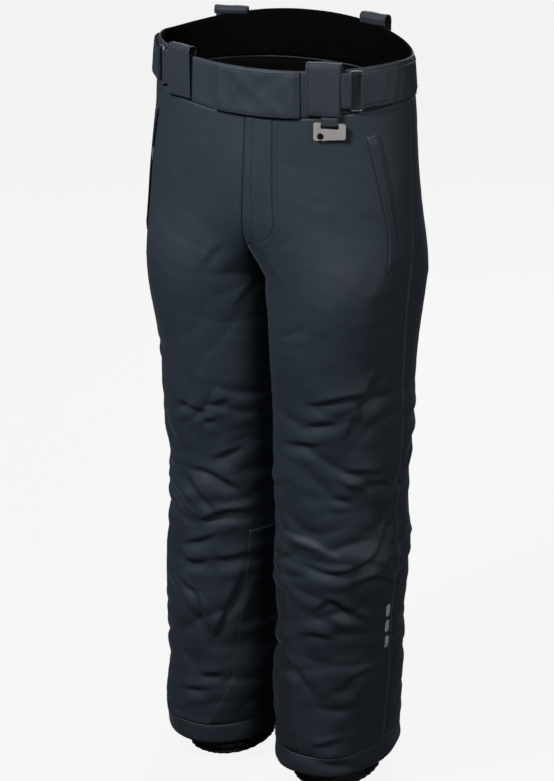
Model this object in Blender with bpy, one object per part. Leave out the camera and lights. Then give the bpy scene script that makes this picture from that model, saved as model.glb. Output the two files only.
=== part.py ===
"""Insulated ski pants with snow gaiters, standing on their gaiters.

Metres, +Z up.  The origin is on the floor, under the middle of the garment.  The wearer
faces -Y and the wearer's left is +X.  Every cloth piece lies on one skin: a torso that
splits into two legs.  A place on the skin is (side, u, z): side is +1 for the wearer's left,
u runs from -1 at the front centre or inseam, over 0 at the side seam, to +1 at the back.
"""
import math

import bmesh
import bpy
import numpy as np
from mathutils import Vector

# ---- garment -------------------------------------------------------------------------
# height, outer x, inner x, front depth, back depth, centre y
MEASUREMENTS = np.array([
    (0.000, 0.169, 0.011, 0.107, 0.114, -0.0030),
    (0.035, 0.170, 0.011, 0.106, 0.112, -0.0030),
    (0.200, 0.176, 0.011, 0.099, 0.101, -0.0040),
    (0.320, 0.180, 0.009, 0.093, 0.094, -0.0060),
    (0.440, 0.182, 0.007, 0.092, 0.092, -0.0080),
    (0.540, 0.185, 0.006, 0.095, 0.096, -0.0080),
    (0.640, 0.188, 0.004, 0.101, 0.105, -0.0060),
    (0.720, 0.194, 0.002, 0.104, 0.112, -0.0060),
    (0.770, 0.199, 0.000, 0.104, 0.114, -0.0060),
    (0.850, 0.199, 0.000, 0.099, 0.110, -0.0080),
    (0.920, 0.196, 0.000, 0.094, 0.100, -0.0080),
    (0.980, 0.192, 0.000, 0.090, 0.093, -0.0080),
    (1.040, 0.187, 0.000, 0.088, 0.089, -0.0080),
    (1.120, 0.184, 0.000, 0.088, 0.088, -0.0080)])
SECTION_POWER = 2.15
THIGH_POWER = 0.45                      # how much squarer the section is at the crotch
THIGH_REACH = 0.10
CROTCH_Z = 0.741
HIP_Z = 0.830
HEM_Z = 0.035
HEM_BAND = 0.028
WAIST_SEAM = (0.959, 0.986, 1.003)      # height at the front, the side and the back
WAIST_RIM = (1.021, 1.038, 1.067)

# ---- cloth layers, as offsets from the skin --------------------------------------------
GAP = 0.0003
SEAM_U = 0.0007
SHELL_THICK = 0.0012
BAG_OUTER, BAG_THICK = -0.0038, 0.0012
INSULATION_OUTER, INSULATION_THICK = -0.0070, 0.0025
LINING_OUTER, LINING_THICK = -0.0101, 0.0008
GUARD_OUTER, GUARD_THICK = 0.0012, 0.0008
HEM_OUTER, HEM_THICK = 0.0002, 0.0026
BAND_OUTER, BAND_THICK = 0.0008, 0.0024
FACING_OUTER, FACING_THICK = -0.0027, 0.0012
TAB_OUTER, TAB_THICK = 0.0056, 0.0020
SHELL_COLUMNS = 9
LEG_ROWS = (0.120, 0.200, 0.290, 0.380, 0.460, 0.540, 0.630, 0.700, 0.741, 0.757, 0.772,
            0.788, 0.796, 0.806, 0.822)
INNER_ROWS = (0.200, 0.380, 0.540, 0.700, 0.741, 0.757, 0.788, 0.822)
UPPER_ROWS = 3
GUARD_ROWS = (0.066, 0.120, 0.200, 0.290, 0.360)
GUARD_COLUMNS = 4
INSULATION_RISE = 0.004                 # its lower edge above the lining's
FLY_GAP_LEFT_U, FLY_GAP_RIGHT_U = 0.19, 0.09    # how far the inner layers stop short of the fly
BAND_JOIN_U = 0.30                      # where the waistband's front and back lengths meet
BAND_JOIN_GAP_U = 0.002
HEM_COLUMNS = 24

# ---- waist tab -------------------------------------------------------------------------
TAB_HINGE_U, TAB_END_U = -0.745, -1.135
TAB_HEIGHT = 0.0600
SNAP_U = -1.070
STUD_SNAP_RADIUS, STUD_SNAP_THICK = 0.0060, 0.0008
SOCKET_RADIUS, SOCKET_THICK = 0.0070, 0.0009

# ---- fly -------------------------------------------------------------------------------
FLY_WIDTH_U = 0.118
FLY_BOTTOM_Z = 0.788
FLY_ROUND_Z = 0.822
FLAP_LOW_Z = 0.796                      # the flap's lowest row
ZIP_X = 0.008
FLY_ZIP_TOP = 0.950
FLY_ZIP_BOTTOM = 0.824
ZIP_DEPTH = 0.0043
ZIP_DEPTH_LOW = 0.0058                   # at the zip's lower end

# ---- zip hardware ----------------------------------------------------------------------
TAPE_HALF = 0.0005
TOOTH_HALF = 0.00075
TOOTH_GAP = 0.0007
TOOTH_WIDTH = 0.0022
SLIDER_PLATE = 0.0007
SLIDER_CLEAR = 0.0010
SLIDER_POST = 0.0004
PULL_THICK = 0.0008
PULL_HOLE = 0.0013
STUD_RADIUS = 0.0010
FLY_TAPE_HALF_WIDTH, POCKET_TAPE_HALF_WIDTH = 0.0090, 0.0055
# half width, length and pull length of a slider
FLY_SLIDER = (0.0046, 0.0105, 0.0160)
POCKET_SLIDER = (0.0036, 0.0080, 0.0140)
FLY_SLIDER_DROP = 0.0060                # from the zip's top to the slider's stud
POCKET_SLIDER_SHARE = 0.035
STOP_HALF_WIDTH, STOP_HALF_THICK, STOP_LENGTH = 0.0045, 0.0015, 0.0040

# ---- pockets ---------------------------------------------------------------------------
POCKET_TOP = (-0.345, 0.936)            # u and z of the opening's ends
POCKET_END = (-0.150, 0.775)
POCKET_STEPS = 10
POCKET_ZIP_DEPTH = 0.0042
WELT_WIDTH_U = 0.085
WELT_OUTER, WELT_THICK = 0.0024, 0.0012
SLOT_HALF_WIDTH, SLOT_HALF_DEPTH = 0.0048, 0.0060
BAG_LOW_Z, BAG_HEIGHT = 0.762, 0.160

# ---- suspender loops -------------------------------------------------------------------
LOOP_WIDTH = 0.046
LOOP_THICK = 0.0012
FRONT_LOOP_U = -0.626
REAR_LEFT_LOOP_U = 0.690                # the rear loops sit unevenly, as worn
REAR_RIGHT_LOOP_U = 0.540
LOOP_TUCK = 0.0150                      # how far a loop reaches down inside the rim

# ---- side adjusters --------------------------------------------------------------------
RING_U = -0.4425
RING_HALF_WIDTH = 0.0080
RING_HALF_HEIGHT = 0.0250
RING_WIRE = 0.0014
RING_LIFT = 0.0047
STRAP_THICK = 0.0010
STRAP_HALF_HEIGHT = 0.0225
INNER_STRAP_HALF_HEIGHT = 0.0195
PAD_HALF_HEIGHT, PAD_THICK = 0.0170, 0.0010
END_OFFSET, PAD_OFFSET, STRAP_OFFSET = 0.0062, 0.0045, 0.0024
KEEPER_LENGTH = 0.012

# ---- ticket plate ----------------------------------------------------------------------
PLATE_WIDTH, PLATE_HEIGHT, PLATE_THICK = 0.042, 0.0235, 0.0014
PLATE_LIFT = 0.0062
PLATE_U = -0.592
PLATE_DROP = 0.0100                     # the slot's top below the waist seam
PLATE_CORNER = 0.002
SLOT_HALF_LENGTH, SLOT_HALF_HEIGHT = 0.0118, 0.0026
EYE_RADIUS = 0.0045
TICKET_HALF_WIDTH = 0.0110

# ---- gaiters ---------------------------------------------------------------------------
# height, half width, half depth
GAITER_RINGS = ((0.0, 0.0545, 0.0720), (0.018, 0.0565, 0.0745), (0.050, 0.0600, 0.0800),
                (0.130, 0.0660, 0.0895))
GAITER_CENTRE = (0.0905, -0.0030)
GAITER_THICK = 0.0010
GAITER_COLUMNS = 20
ELASTIC_HEIGHT, ELASTIC_THICK, ELASTIC_GAP = 0.018, 0.0012, 0.0008
GAITER_SNAP_TURN, GAITER_SNAP_Z = 0.985, 0.013
GAITER_SNAP_RADIUS, GAITER_SNAP_THICK = 0.0055, 0.0026

# name, colour, roughness, metallic
LOOKS = {
    "shell": ((0.040, 0.050, 0.062), 0.62, 0.0),
    "trim": ((0.034, 0.043, 0.054), 0.66, 0.0),
    "guard": ((0.030, 0.036, 0.045), 0.55, 0.0),
    "lining": ((0.012, 0.013, 0.015), 0.80, 0.0),
    "insulation": ((0.620, 0.630, 0.640), 0.95, 0.0),
    "gaiter": ((0.022, 0.026, 0.032), 0.50, 0.0),
    "elastic": ((0.014, 0.015, 0.017), 0.75, 0.0),
    "webbing": ((0.028, 0.034, 0.042), 0.70, 0.0),
    "zip_tape": ((0.016, 0.018, 0.021), 0.70, 0.0),
    "zip_metal": ((0.120, 0.125, 0.135), 0.35, 1.0),
    "ring_metal": ((0.100, 0.108, 0.120), 0.30, 1.0),
    "plate_metal": ((0.620, 0.590, 0.580), 0.32, 1.0)}


# ---- the skin --------------------------------------------------------------------------
HEIGHTS = MEASUREMENTS[:, 0]
SECTIONS = MEASUREMENTS[:, 1:]
SLOPES = np.gradient(SECTIONS, HEIGHTS, axis=0)


def section(z):
    """Outer x, inner x, front depth, back depth and centre y at one height."""
    i = int(np.clip(np.searchsorted(HEIGHTS, z, side="right") - 1, 0, len(HEIGHTS) - 2))
    span = HEIGHTS[i + 1] - HEIGHTS[i]
    t = float(np.clip((z - HEIGHTS[i]) / span, 0.0, 1.0))
    near, far = 2 * t**3 - 3 * t**2 + 1, 3 * t**2 - 2 * t**3
    leave, arrive = t**3 - 2 * t**2 + t, t**3 - t**2
    return (near * SECTIONS[i] + leave * span * SLOPES[i]
            + far * SECTIONS[i + 1] + arrive * span * SLOPES[i + 1])


def rounded(angle, power=SECTION_POWER):
    """Cosine and sine of a rounded, slightly square section."""
    c, s = math.cos(angle), math.sin(angle)
    return math.copysign(abs(c)**(2 / power), c), math.copysign(abs(s)**(2 / power), s)


def bulge(share, power):
    """Depth of a rounded section at a share of its half width."""
    return max(1.0 - min(abs(share), 1.0)**power, 0.0)**(1 / power)


def skin(side, u, z):
    """A point of the skin.  Past u = -1 or +1 the torso goes on to the other side, and a
    leg closes on itself."""
    if abs(u) > 1.0:
        if z < CROTCH_Z:
            u -= math.copysign(2.0, u)
        else:
            u = math.copysign(2.0, u) - u
            side = -side
    outer, inner, front, back, centre_y = section(z)
    if z >= CROTCH_Z:
        inner = 0.0
    power = SECTION_POWER + THIGH_POWER * math.exp(-((z - CROTCH_Z) / THIGH_REACH)**2)
    rise = min(max((z - CROTCH_Z) / (HIP_Z - CROTCH_Z), 0.0), 1.0)
    torso = 1.0 - (1.0 - rise)**2
    middle, half = (outer + inner) / 2, (outer - inner) / 2
    torso_x = outer * rounded(u * math.pi / 2, power)[0]
    leg_x = middle + half * rounded(u * math.pi, power)[0]
    x = torso * torso_x + (1.0 - torso) * leg_x
    torso_y = bulge(x / outer, power)
    leg_y = bulge((x - middle) / half, power)
    depth = math.sqrt(torso * torso_y**2 + (1.0 - torso) * leg_y**2)
    y = centre_y + (-front if u < 0 else back) * depth
    return Vector((side * x, y, z))


def skin_normal(side, u, z):
    """The outward direction of the skin."""
    step_u, step_z = 0.006, 0.002
    along = skin(side, u + step_u, z) - skin(side, u - step_u, z)
    up = skin(side, u, z + step_z) - skin(side, u, z - step_z)
    return (along.cross(up) * side).normalized()


def lift(side, u, z, offset):
    """A point at an offset from the skin; negative is towards the wearer."""
    return skin(side, u, z) + skin_normal(side, u, z) * offset


def curve_round(values, u):
    """A height that goes smoothly from the front, over the side, to the back."""
    if abs(u) > 1.0:
        u = math.copysign(2.0, u) - u
    front, middle, back = values
    end = front if u < 0 else back
    return middle + (end - middle) * math.sin(abs(u) * math.pi / 2)**2


def waist_height(u, share):
    """Height on the waistband: share 0 is its seam, 1 its rim."""
    low, high = curve_round(WAIST_SEAM, u), curve_round(WAIST_RIM, u)
    return low + (high - low) * share


def tangent_frame(side, u, z):
    """Origin on the skin, the level direction towards the back, and the level outward one."""
    out = skin_normal(side, u, z)
    out.z = 0.0
    out.normalize()
    back = Vector((0, 0, 1)).cross(out) * side
    return skin(side, u, z), back, out


# ---- mesh helpers ----------------------------------------------------------------------
def look_material(name):
    """The Principled material of one look."""
    material = bpy.data.materials.get(name)
    if material is None:
        colour, roughness, metallic = LOOKS[name]
        material = bpy.data.materials.new(name)
        material.use_nodes = True
        shader = material.node_tree.nodes["Principled BSDF"]
        shader.inputs["Base Color"].default_value = (*colour, 1.0)
        shader.inputs["Roughness"].default_value = roughness
        shader.inputs["Metallic"].default_value = metallic
    return material


def add_object(name, look, points, faces, origin=(0, 0, 0)):
    """One named solid with its origin on its joint's axis."""
    origin = Vector(origin)
    mesh = bpy.data.meshes.new(name)
    mesh.from_pydata([Vector(p) - origin for p in points], [], faces)
    shape = bmesh.new()
    shape.from_mesh(mesh)
    bmesh.ops.recalc_face_normals(shape, faces=shape.faces)
    shape.to_mesh(mesh)
    shape.free()
    mesh.materials.append(look_material(look))
    obj = bpy.data.objects.new(name, mesh)
    obj.location = origin
    bpy.context.scene.collection.objects.link(obj)
    return obj


def split_quad(a, b, c, d):
    """Two triangles, always along the same diagonal, so nested layers stay parallel."""
    return [(a, b, c), (a, c, d)]


def grid_faces(columns, rows, start, closed=False):
    """Triangles of a grid of points stored row by row."""
    faces = []
    spans = columns if closed else columns - 1
    for j in range(rows - 1):
        for i in range(spans):
            k = (i + 1) % columns
            faces += split_quad(start + j * columns + i, start + j * columns + k,
                                start + (j + 1) * columns + k, start + (j + 1) * columns + i)
    return faces


def join_loops(first, second, closed):
    """The strip of triangles between two equally long rows of points."""
    faces = []
    count = len(first)
    for i in range(count if closed else count - 1):
        k = (i + 1) % count
        faces += split_quad(first[i], first[k], second[k], second[i])
    return faces


def sheet(name, look, side, place, columns, rows, outer, thick, closed=False, origin=(0, 0, 0)):
    """A closed panel of cloth on the skin; place(i, j) gives u and z of a grid point."""
    points = []
    for offset in (outer, outer - thick):
        for j in range(rows):
            for i in range(columns):
                points.append(lift(side, *place(i, j), offset))
    count = columns * rows
    faces = grid_faces(columns, rows, 0, closed) + grid_faces(columns, rows, count, closed)
    bottom = list(range(columns))
    top = [count - columns + i for i in range(columns)]
    edges = [(bottom, closed), (top, closed)]
    if not closed:
        edges.append(([j * columns for j in range(rows)], False))
        edges.append(([j * columns + columns - 1 for j in range(rows)], False))
    for edge, loop in edges:
        faces += join_loops(edge, [k + count for k in edge], loop)
    return add_object(name, look, points, faces, origin)


def sweep(name, look, outline, frames, origin=(0, 0, 0)):
    """A closed outline carried through frames of (origin, first axis, second axis)."""
    points = []
    for start, first, second in frames:
        points += [start + first * a + second * b for a, b in outline]
    sides = len(outline)
    faces = grid_faces(sides, len(frames), 0, closed=True)
    faces.append(tuple(range(sides)))
    faces.append(tuple(len(points) - sides + i for i in range(sides)))
    return add_object(name, look, points, faces, origin)


def strip(name, look, stations, thick, origin=(0, 0, 0)):
    """A flat strap through stations of (one edge, other edge, outward direction)."""
    points = []
    for low, high, out in stations:
        half = out * (thick / 2)
        points += [low - half, low + half, high + half, high - half]
    faces = grid_faces(4, len(stations), 0, closed=True)
    faces.append((0, 1, 2, 3))
    faces.append(tuple(len(points) - 4 + i for i in range(4)))
    return add_object(name, look, points, faces, origin)


def round_outline(radius, sides):
    """A regular outline, as pairs."""
    turns = [2 * math.pi * (k + 0.5) / sides for k in range(sides)]
    return [(radius * math.cos(t), radius * math.sin(t)) for t in turns]


def box_outline(half_a, half_b):
    """A rectangle, as pairs."""
    return [(-half_a, -half_b), (half_a, -half_b), (half_a, half_b), (-half_a, half_b)]


def disc(name, look, centre, axis, radius, thick, sides=16, origin=(0, 0, 0)):
    """A short cylinder that starts at centre and rises along axis."""
    first = axis.orthogonal().normalized()
    second = axis.cross(first)
    frames = [(centre, first, second), (centre + axis * thick, first, second)]
    return sweep(name, look, round_outline(radius, sides), frames, origin)


def combine(obj, tool, operation):
    """Cut with, or weld on, a helper solid that isn't a piece of its own."""
    tool.hide_render = True
    tool.display_type = "WIRE"
    change = obj.modifiers.new(operation.lower(), "BOOLEAN")
    change.operation = operation
    change.object = tool


# ---- shell, insulation and lining --------------------------------------------------------
def row_heights(rows, low, top_gap):
    """A function giving the height of row j at u, for rows from low to the waist seam."""
    fixed = (low,) + rows

    def height(j, u):
        if j < len(fixed):
            return fixed[j]
        share = (j - len(fixed) + 1) / UPPER_ROWS
        return fixed[-1] + (curve_round(WAIST_SEAM, u) - top_gap - fixed[-1]) * share
    return height, len(fixed) + UPPER_ROWS


def fly_edge_u(z):
    """Distance in u from the front centre to the curved seam of the fly."""
    if z < FLY_BOTTOM_Z:
        return 0.0
    drop = max(FLY_ROUND_Z - z, 0.0) / (FLY_ROUND_Z - FLY_BOTTOM_Z)
    return FLY_WIDTH_U * math.sqrt(max(1.0 - drop**2, 0.0))


def build_shell():
    """Front and back panels of each leg, from the hem band to the waist seam."""
    height, rows = row_heights(LEG_ROWS, HEM_Z + HEM_BAND + GAP, GAP)
    for side, word in ((1, "left"), (-1, "right")):
        def front(i, j):
            z_guess = height(j, -1.0)
            edge = fly_edge_u(z_guess) if side > 0 else 0.0
            start, end = -1.0 + edge + SEAM_U, -SEAM_U
            u = start + (end - start) * i / SHELL_COLUMNS
            return u, height(j, u)

        def back(i, j):
            u = SEAM_U + (1.0 - 2 * SEAM_U) * i / SHELL_COLUMNS
            return u, height(j, u)
        panel = sheet("shell_front_" + word, "shell", side, front, SHELL_COLUMNS + 1, rows,
                      0.0, SHELL_THICK)
        combine(panel, pocket_cutter(side, word), "DIFFERENCE")
        sheet("shell_back_" + word, "shell", side, back, SHELL_COLUMNS + 1, rows,
              0.0, SHELL_THICK)


def build_inner_layers():
    """Insulation and lining of each leg, open along the fly."""
    low = HEM_Z + HEM_BAND + GAP
    columns = 2 * SHELL_COLUMNS
    layers = (("insulation", "insulation", INSULATION_OUTER, INSULATION_THICK,
               INSULATION_RISE),
              ("lining", "lining", LINING_OUTER, LINING_THICK, 0.0))
    for side, word in ((1, "left"), (-1, "right")):
        opening = FLY_GAP_LEFT_U if side > 0 else FLY_GAP_RIGHT_U
        for name, look, outer, thick, rise in layers:
            height, rows = row_heights(INNER_ROWS, low + rise, 0.002)

            def place(i, j):
                start = -1.0 + SEAM_U
                if height(j, -1.0) > INNER_ROWS[-3] + GAP:
                    start += opening
                half = i - SHELL_COLUMNS
                if half < 0:
                    u = start * -half / SHELL_COLUMNS
                else:
                    u = (1.0 - SEAM_U) * half / SHELL_COLUMNS
                return u, height(j, u)
            sheet(name + "_" + word, look, side, place, columns + 1, rows, outer, thick)


def build_hem():
    """The turned hem band and the scuff guard on the inside of each ankle."""
    for side, word in ((1, "left"), (-1, "right")):
        sheet("hem_band_" + word, "trim", side,
              lambda i, j: (-1.0 + 2.0 * i / HEM_COLUMNS, HEM_Z + HEM_BAND * j),
              HEM_COLUMNS, 2, HEM_OUTER, HEM_THICK, closed=True)

        def guard(i, j):
            return -1.0 + (i - GUARD_COLUMNS) / SHELL_COLUMNS, GUARD_ROWS[j]
        sheet("inner_leg_guard_" + word, "guard", side, guard, 2 * GUARD_COLUMNS + 1,
              len(GUARD_ROWS), GUARD_OUTER, GUARD_THICK)


# ---- gaiters -----------------------------------------------------------------------------
def gaiter_point(side, turn, z, inset):
    """A point of the snow gaiter inside the hem; turn is a share of a full turn."""
    heights = [ring[0] for ring in GAITER_RINGS]
    half_x = float(np.interp(z, heights, [ring[1] for ring in GAITER_RINGS])) - inset
    half_y = float(np.interp(z, heights, [ring[2] for ring in GAITER_RINGS])) - inset
    c, s = rounded(2 * math.pi * turn)
    return Vector((side * (GAITER_CENTRE[0] + half_x * c), GAITER_CENTRE[1] + half_y * s, z))


def gaiter_tube(name, look, side, heights, inset, thick):
    """A closed tube of cloth that follows the gaiter."""
    points = []
    for depth in (inset, inset + thick):
        for z in heights:
            points += [gaiter_point(side, k / GAITER_COLUMNS, z, depth)
                       for k in range(GAITER_COLUMNS)]
    rows, n = len(heights), GAITER_COLUMNS
    count = rows * n
    faces = grid_faces(n, rows, 0, True) + grid_faces(n, rows, count, True)
    for start in (0, count - n):
        edge = [start + k for k in range(n)]
        faces += join_loops(edge, [k + count for k in edge], True)
    return add_object(name, look, points, faces)


def build_gaiters():
    """Snow gaiter, its gripper elastic and the snap that closes it."""
    for side, word in ((1, "left"), (-1, "right")):
        gaiter_tube("gaiter_" + word, "gaiter", side, [ring[0] for ring in GAITER_RINGS],
                    0.0, GAITER_THICK)
        gaiter_tube("gaiter_elastic_" + word, "elastic", side, [0.0, ELASTIC_HEIGHT],
                    GAITER_THICK + ELASTIC_GAP, ELASTIC_THICK)
        spot = gaiter_point(side, GAITER_SNAP_TURN, GAITER_SNAP_Z, -GAP)
        disc("gaiter_snap_" + word, "zip_metal", spot, Vector((side, 0, 0)),
             GAITER_SNAP_RADIUS, GAITER_SNAP_THICK)


# ---- waistband ---------------------------------------------------------------------------
def build_waistband():
    """Three outer lengths of waistband, and the facing that lines them."""
    join = BAND_JOIN_U
    rows = 3
    pieces = (("waistband_front_left", 1, -1.0 + SEAM_U, join, 13),
              ("waistband_front_right", -1, -1.0 + SEAM_U, join, 13),
              ("waistband_back", 1, join + BAND_JOIN_GAP_U,
               2.0 - join - BAND_JOIN_GAP_U, 15))
    for name, side, start, end, columns in pieces:
        sheet(name, "trim", side,
              lambda i, j: waist_place(start, end, i / (columns - 1), j / (rows - 1)),
              columns, rows, BAND_OUTER, BAND_THICK)
    columns, rows = 41, 2
    sheet("waist_facing", "lining", 1,
          lambda i, j: waist_place(-1.0 + SEAM_U, 3.0 - SEAM_U, i / (columns - 1), j),
          columns, rows, FACING_OUTER, FACING_THICK)


def waist_place(start, end, across, share):
    """u and z on the waistband; past u = 1 it runs on round the wearer's right."""
    u = start + (end - start) * across
    return u, waist_height(u, share)


# ---- fly and waist tab -------------------------------------------------------------------
def build_tab():
    """The closing tab that crosses the front centre, with its hidden snap."""
    columns, rows = 9, 3
    hinge = lift(1, TAB_HINGE_U, waist_height(TAB_HINGE_U, 0.5), TAB_OUTER)

    def place(i, j):
        u = TAB_HINGE_U + (TAB_END_U - TAB_HINGE_U) * i / (columns - 1)
        z = waist_height(u, 0.5) + (j / (rows - 1) - 0.5) * TAB_HEIGHT
        return u, z
    sheet("waist_tab", "trim", 1, place, columns, rows, TAB_OUTER, TAB_THICK, origin=hinge)
    z = waist_height(SNAP_U, 0.5)
    out = skin_normal(1, SNAP_U, z)
    spot = skin(1, SNAP_U, z)
    under = TAB_OUTER - TAB_THICK - GAP
    disc("waist_snap_stud", "zip_metal", spot + out * (under - STUD_SNAP_THICK), out,
         STUD_SNAP_RADIUS, STUD_SNAP_THICK, origin=hinge)
    disc("waist_snap_socket", "zip_metal", spot + out * (BAND_OUTER + GAP), out,
         SOCKET_RADIUS, SOCKET_THICK)


def build_fly_flap():
    """The cloth flap over the fly zip; it swings on its curved seam."""
    height, rows = row_heights(LEG_ROWS, HEM_Z, GAP + 0.0005)
    first = LEG_ROWS.index(FLAP_LOW_Z) + 1
    columns = 5

    def place(i, j):
        row = first + j
        z = height(row, -1.0)
        start = -1.0 + SEAM_U
        end = -1.0 + fly_edge_u(z) - SEAM_U
        u = start + (end - start) * i / (columns - 1)
        return u, height(row, u)
    edge_u = -1.0 + FLY_WIDTH_U
    hinge = lift(1, edge_u, 0.880, 0.0)
    sheet("fly_flap", "shell", 1, place, columns, rows - first, 0.0, SHELL_THICK, origin=hinge)


# ---- zips --------------------------------------------------------------------------------
def tape_outline(direction, half_tape):
    """Half of a zip: a bead of teeth along the edge of its tape."""
    near, teeth = TOOTH_GAP, TOOTH_GAP + TOOTH_WIDTH
    far = half_tape
    shape = [(near, -TOOTH_HALF), (teeth, -TOOTH_HALF), (teeth, -TAPE_HALF), (far, -TAPE_HALF),
             (far, TAPE_HALF), (teeth, TAPE_HALF), (teeth, TOOTH_HALF), (near, TOOTH_HALF)]
    return [(a * direction, b) for a, b in shape]


def slider_outline(half_width):
    """A slider's section: two plates joined by a post that runs between the teeth."""
    inner = SLIDER_CLEAR
    outer = SLIDER_CLEAR + SLIDER_PLATE
    post = SLIDER_POST
    return [(-half_width, -outer), (half_width, -outer), (half_width, -inner), (post, -inner),
            (post, inner), (half_width, inner), (half_width, outer), (-half_width, outer),
            (-half_width, inner), (-post, inner), (-post, -inner), (-half_width, -inner)]


def zip_slider(prefix, suffix, frame, half_width, length, pull_length, slider_origin):
    """Slider with its stud, and the pull that swings on the stud.

    frame is the stud's centre on the zip's middle plane, the direction across the zip, the
    outward one and the one in which the slider opens the zip."""
    centre, across, out, opening = frame
    ends = [(centre + opening * d, across, out) for d in (-length / 2, length / 2)]
    slider = sweep(prefix + "_slider" + suffix, "zip_metal", slider_outline(half_width), ends,
                   slider_origin)
    face = SLIDER_CLEAR + SLIDER_PLATE
    stud = disc(prefix + "_stud_helper" + suffix, "zip_metal", centre + out * (face - 0.0003), out,
                STUD_RADIUS, GAP + PULL_THICK + 0.0002, sides=10)
    combine(slider, stud, "UNION")
    low = face + GAP
    half = half_width * 0.6
    outline = [(-half, -0.0026), (half, -0.0026), (half * 0.7, pull_length),
               (-half * 0.7, pull_length)]
    flat = [(centre + out * level, across, opening) for level in (low, low + PULL_THICK)]
    pull = sweep(prefix + "_pull" + suffix, "zip_metal", outline, flat, centre)
    hole = disc(prefix + "_hole_helper" + suffix, "zip_metal", centre + out * (low - 0.001), out,
                PULL_HOLE, PULL_THICK + 0.002, sides=12)
    combine(pull, hole, "DIFFERENCE")


def fly_zip_frame():
    """Top and bottom of the fly zip's middle line, its outward side and its run."""
    ends = []
    for z, depth in ((FLY_ZIP_TOP, ZIP_DEPTH), (FLY_ZIP_BOTTOM, ZIP_DEPTH_LOW)):
        surface = lift(1, -1.0 + 2 * ZIP_X / 0.6, z, -depth)
        ends.append(Vector((ZIP_X, surface.y, z)))
    run = (ends[1] - ends[0]).normalized()
    out = run.cross(Vector((1, 0, 0))).normalized()
    if out.y > 0:
        out.negate()
    return ends[0], ends[1], out, run


def build_fly_zip():
    """Two tapes with teeth, the bottom stop, the slider and its pull."""
    top, bottom, out, run = fly_zip_frame()
    across = Vector((1, 0, 0))
    frames = [(top, across, out), (bottom, across, out)]
    for word, direction in (("left", 1), ("right", -1)):
        sweep("fly_zip_tape_" + word, "zip_tape",
              tape_outline(direction, FLY_TAPE_HALF_WIDTH), frames)
    block = [(bottom + run * d, across, out) for d in (GAP, STOP_LENGTH)]
    sweep("fly_zip_stop", "zip_metal", box_outline(STOP_HALF_WIDTH, STOP_HALF_THICK), block)
    stud = top + run * FLY_SLIDER_DROP
    zip_slider("fly", "", (stud, across, out, run), *FLY_SLIDER, stud)


def pocket_line(share):
    """u and z at a share of the pocket's opening, from its top."""
    top, end = POCKET_TOP, POCKET_END
    return top[0] + (end[0] - top[0]) * share, top[1] + (end[1] - top[1]) * share


def pocket_arc(side):
    """Centre, radius, axis, start and angle of the arc that a pocket zip follows."""
    first, middle, last = [lift(1, *pocket_line(share), -POCKET_ZIP_DEPTH)
                           for share in (0.0, 0.5, 1.0)]
    chord = last - first
    half = (first + last) / 2
    rise = skin_normal(1, *pocket_line(0.5))
    rise = (rise - chord * (rise.dot(chord) / chord.length_squared)).normalized()
    height = (middle - half).dot(rise)
    radius = (chord.length_squared / 4 + height**2) / (2 * height)
    centre = half + rise * (height - radius)
    axis = chord.cross(rise).normalized()
    mirror = Vector((side, 1, 1))
    return (centre * mirror, radius, axis * mirror * side, first * mirror,
            2 * math.asin(chord.length / 2 / radius))


def pocket_frame(side, share):
    """Point, across, outward and opening direction at a share of the pocket zip."""
    centre, radius, axis, first, angle = pocket_arc(side)
    start_out = (first - centre).normalized()
    turn = angle * share
    start_run = start_out.cross(axis)
    out = start_out * math.cos(turn) + start_run * math.sin(turn)
    opening = start_run * math.cos(turn) - start_out * math.sin(turn)
    return centre + out * radius, axis, out, opening


def pocket_cutter(side, word):
    """Helper that cuts the pocket's slot through the shell."""
    frames = []
    for k in range(POCKET_STEPS + 1):
        share = -0.02 + 1.04 * k / POCKET_STEPS
        point, across, out, opening = pocket_frame(side, share)
        frames.append((point + out * 0.004, across, out))
    return sweep("pocket_slot_helper_" + word, "shell",
                 box_outline(SLOT_HALF_WIDTH, SLOT_HALF_DEPTH), frames)


def build_pockets():
    """Zip, slider, pull, welt and bag of each hand pocket."""
    for side, word in ((1, "left"), (-1, "right")):
        frames = []
        for k in range(POCKET_STEPS + 1):
            point, across, out, opening = pocket_frame(side, k / POCKET_STEPS)
            frames.append((point, across, out))
        for edge, direction in (("front", side), ("rear", -side)):
            sweep("pocket_zip_" + edge + "_" + word, "zip_tape",
                  tape_outline(direction, POCKET_TAPE_HALF_WIDTH), frames)
        frame = pocket_frame(side, POCKET_SLIDER_SHARE)
        zip_slider("pocket", "_" + word, frame, *POCKET_SLIDER, frame[0])

        def welt(i, j):
            u, z = pocket_line(-0.05 + 1.10 * j / 10)
            return u - 0.035 + WELT_WIDTH_U * i / 3, z + 0.004 * i / 3
        sheet("pocket_welt_" + word, "trim", side, welt, 4, 11, WELT_OUTER, WELT_THICK)

        def bag(i, j):
            share = j / 5
            z = BAG_LOW_Z + BAG_HEIGHT * share
            rear = -0.290 - 0.150 * share
            front_edge = -0.740 + 0.060 * share
            return front_edge + (rear - front_edge) * i / 7, z
        sheet("pocket_bag_" + word, "lining", side, bag, 8, 6, BAG_OUTER, BAG_THICK)


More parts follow.
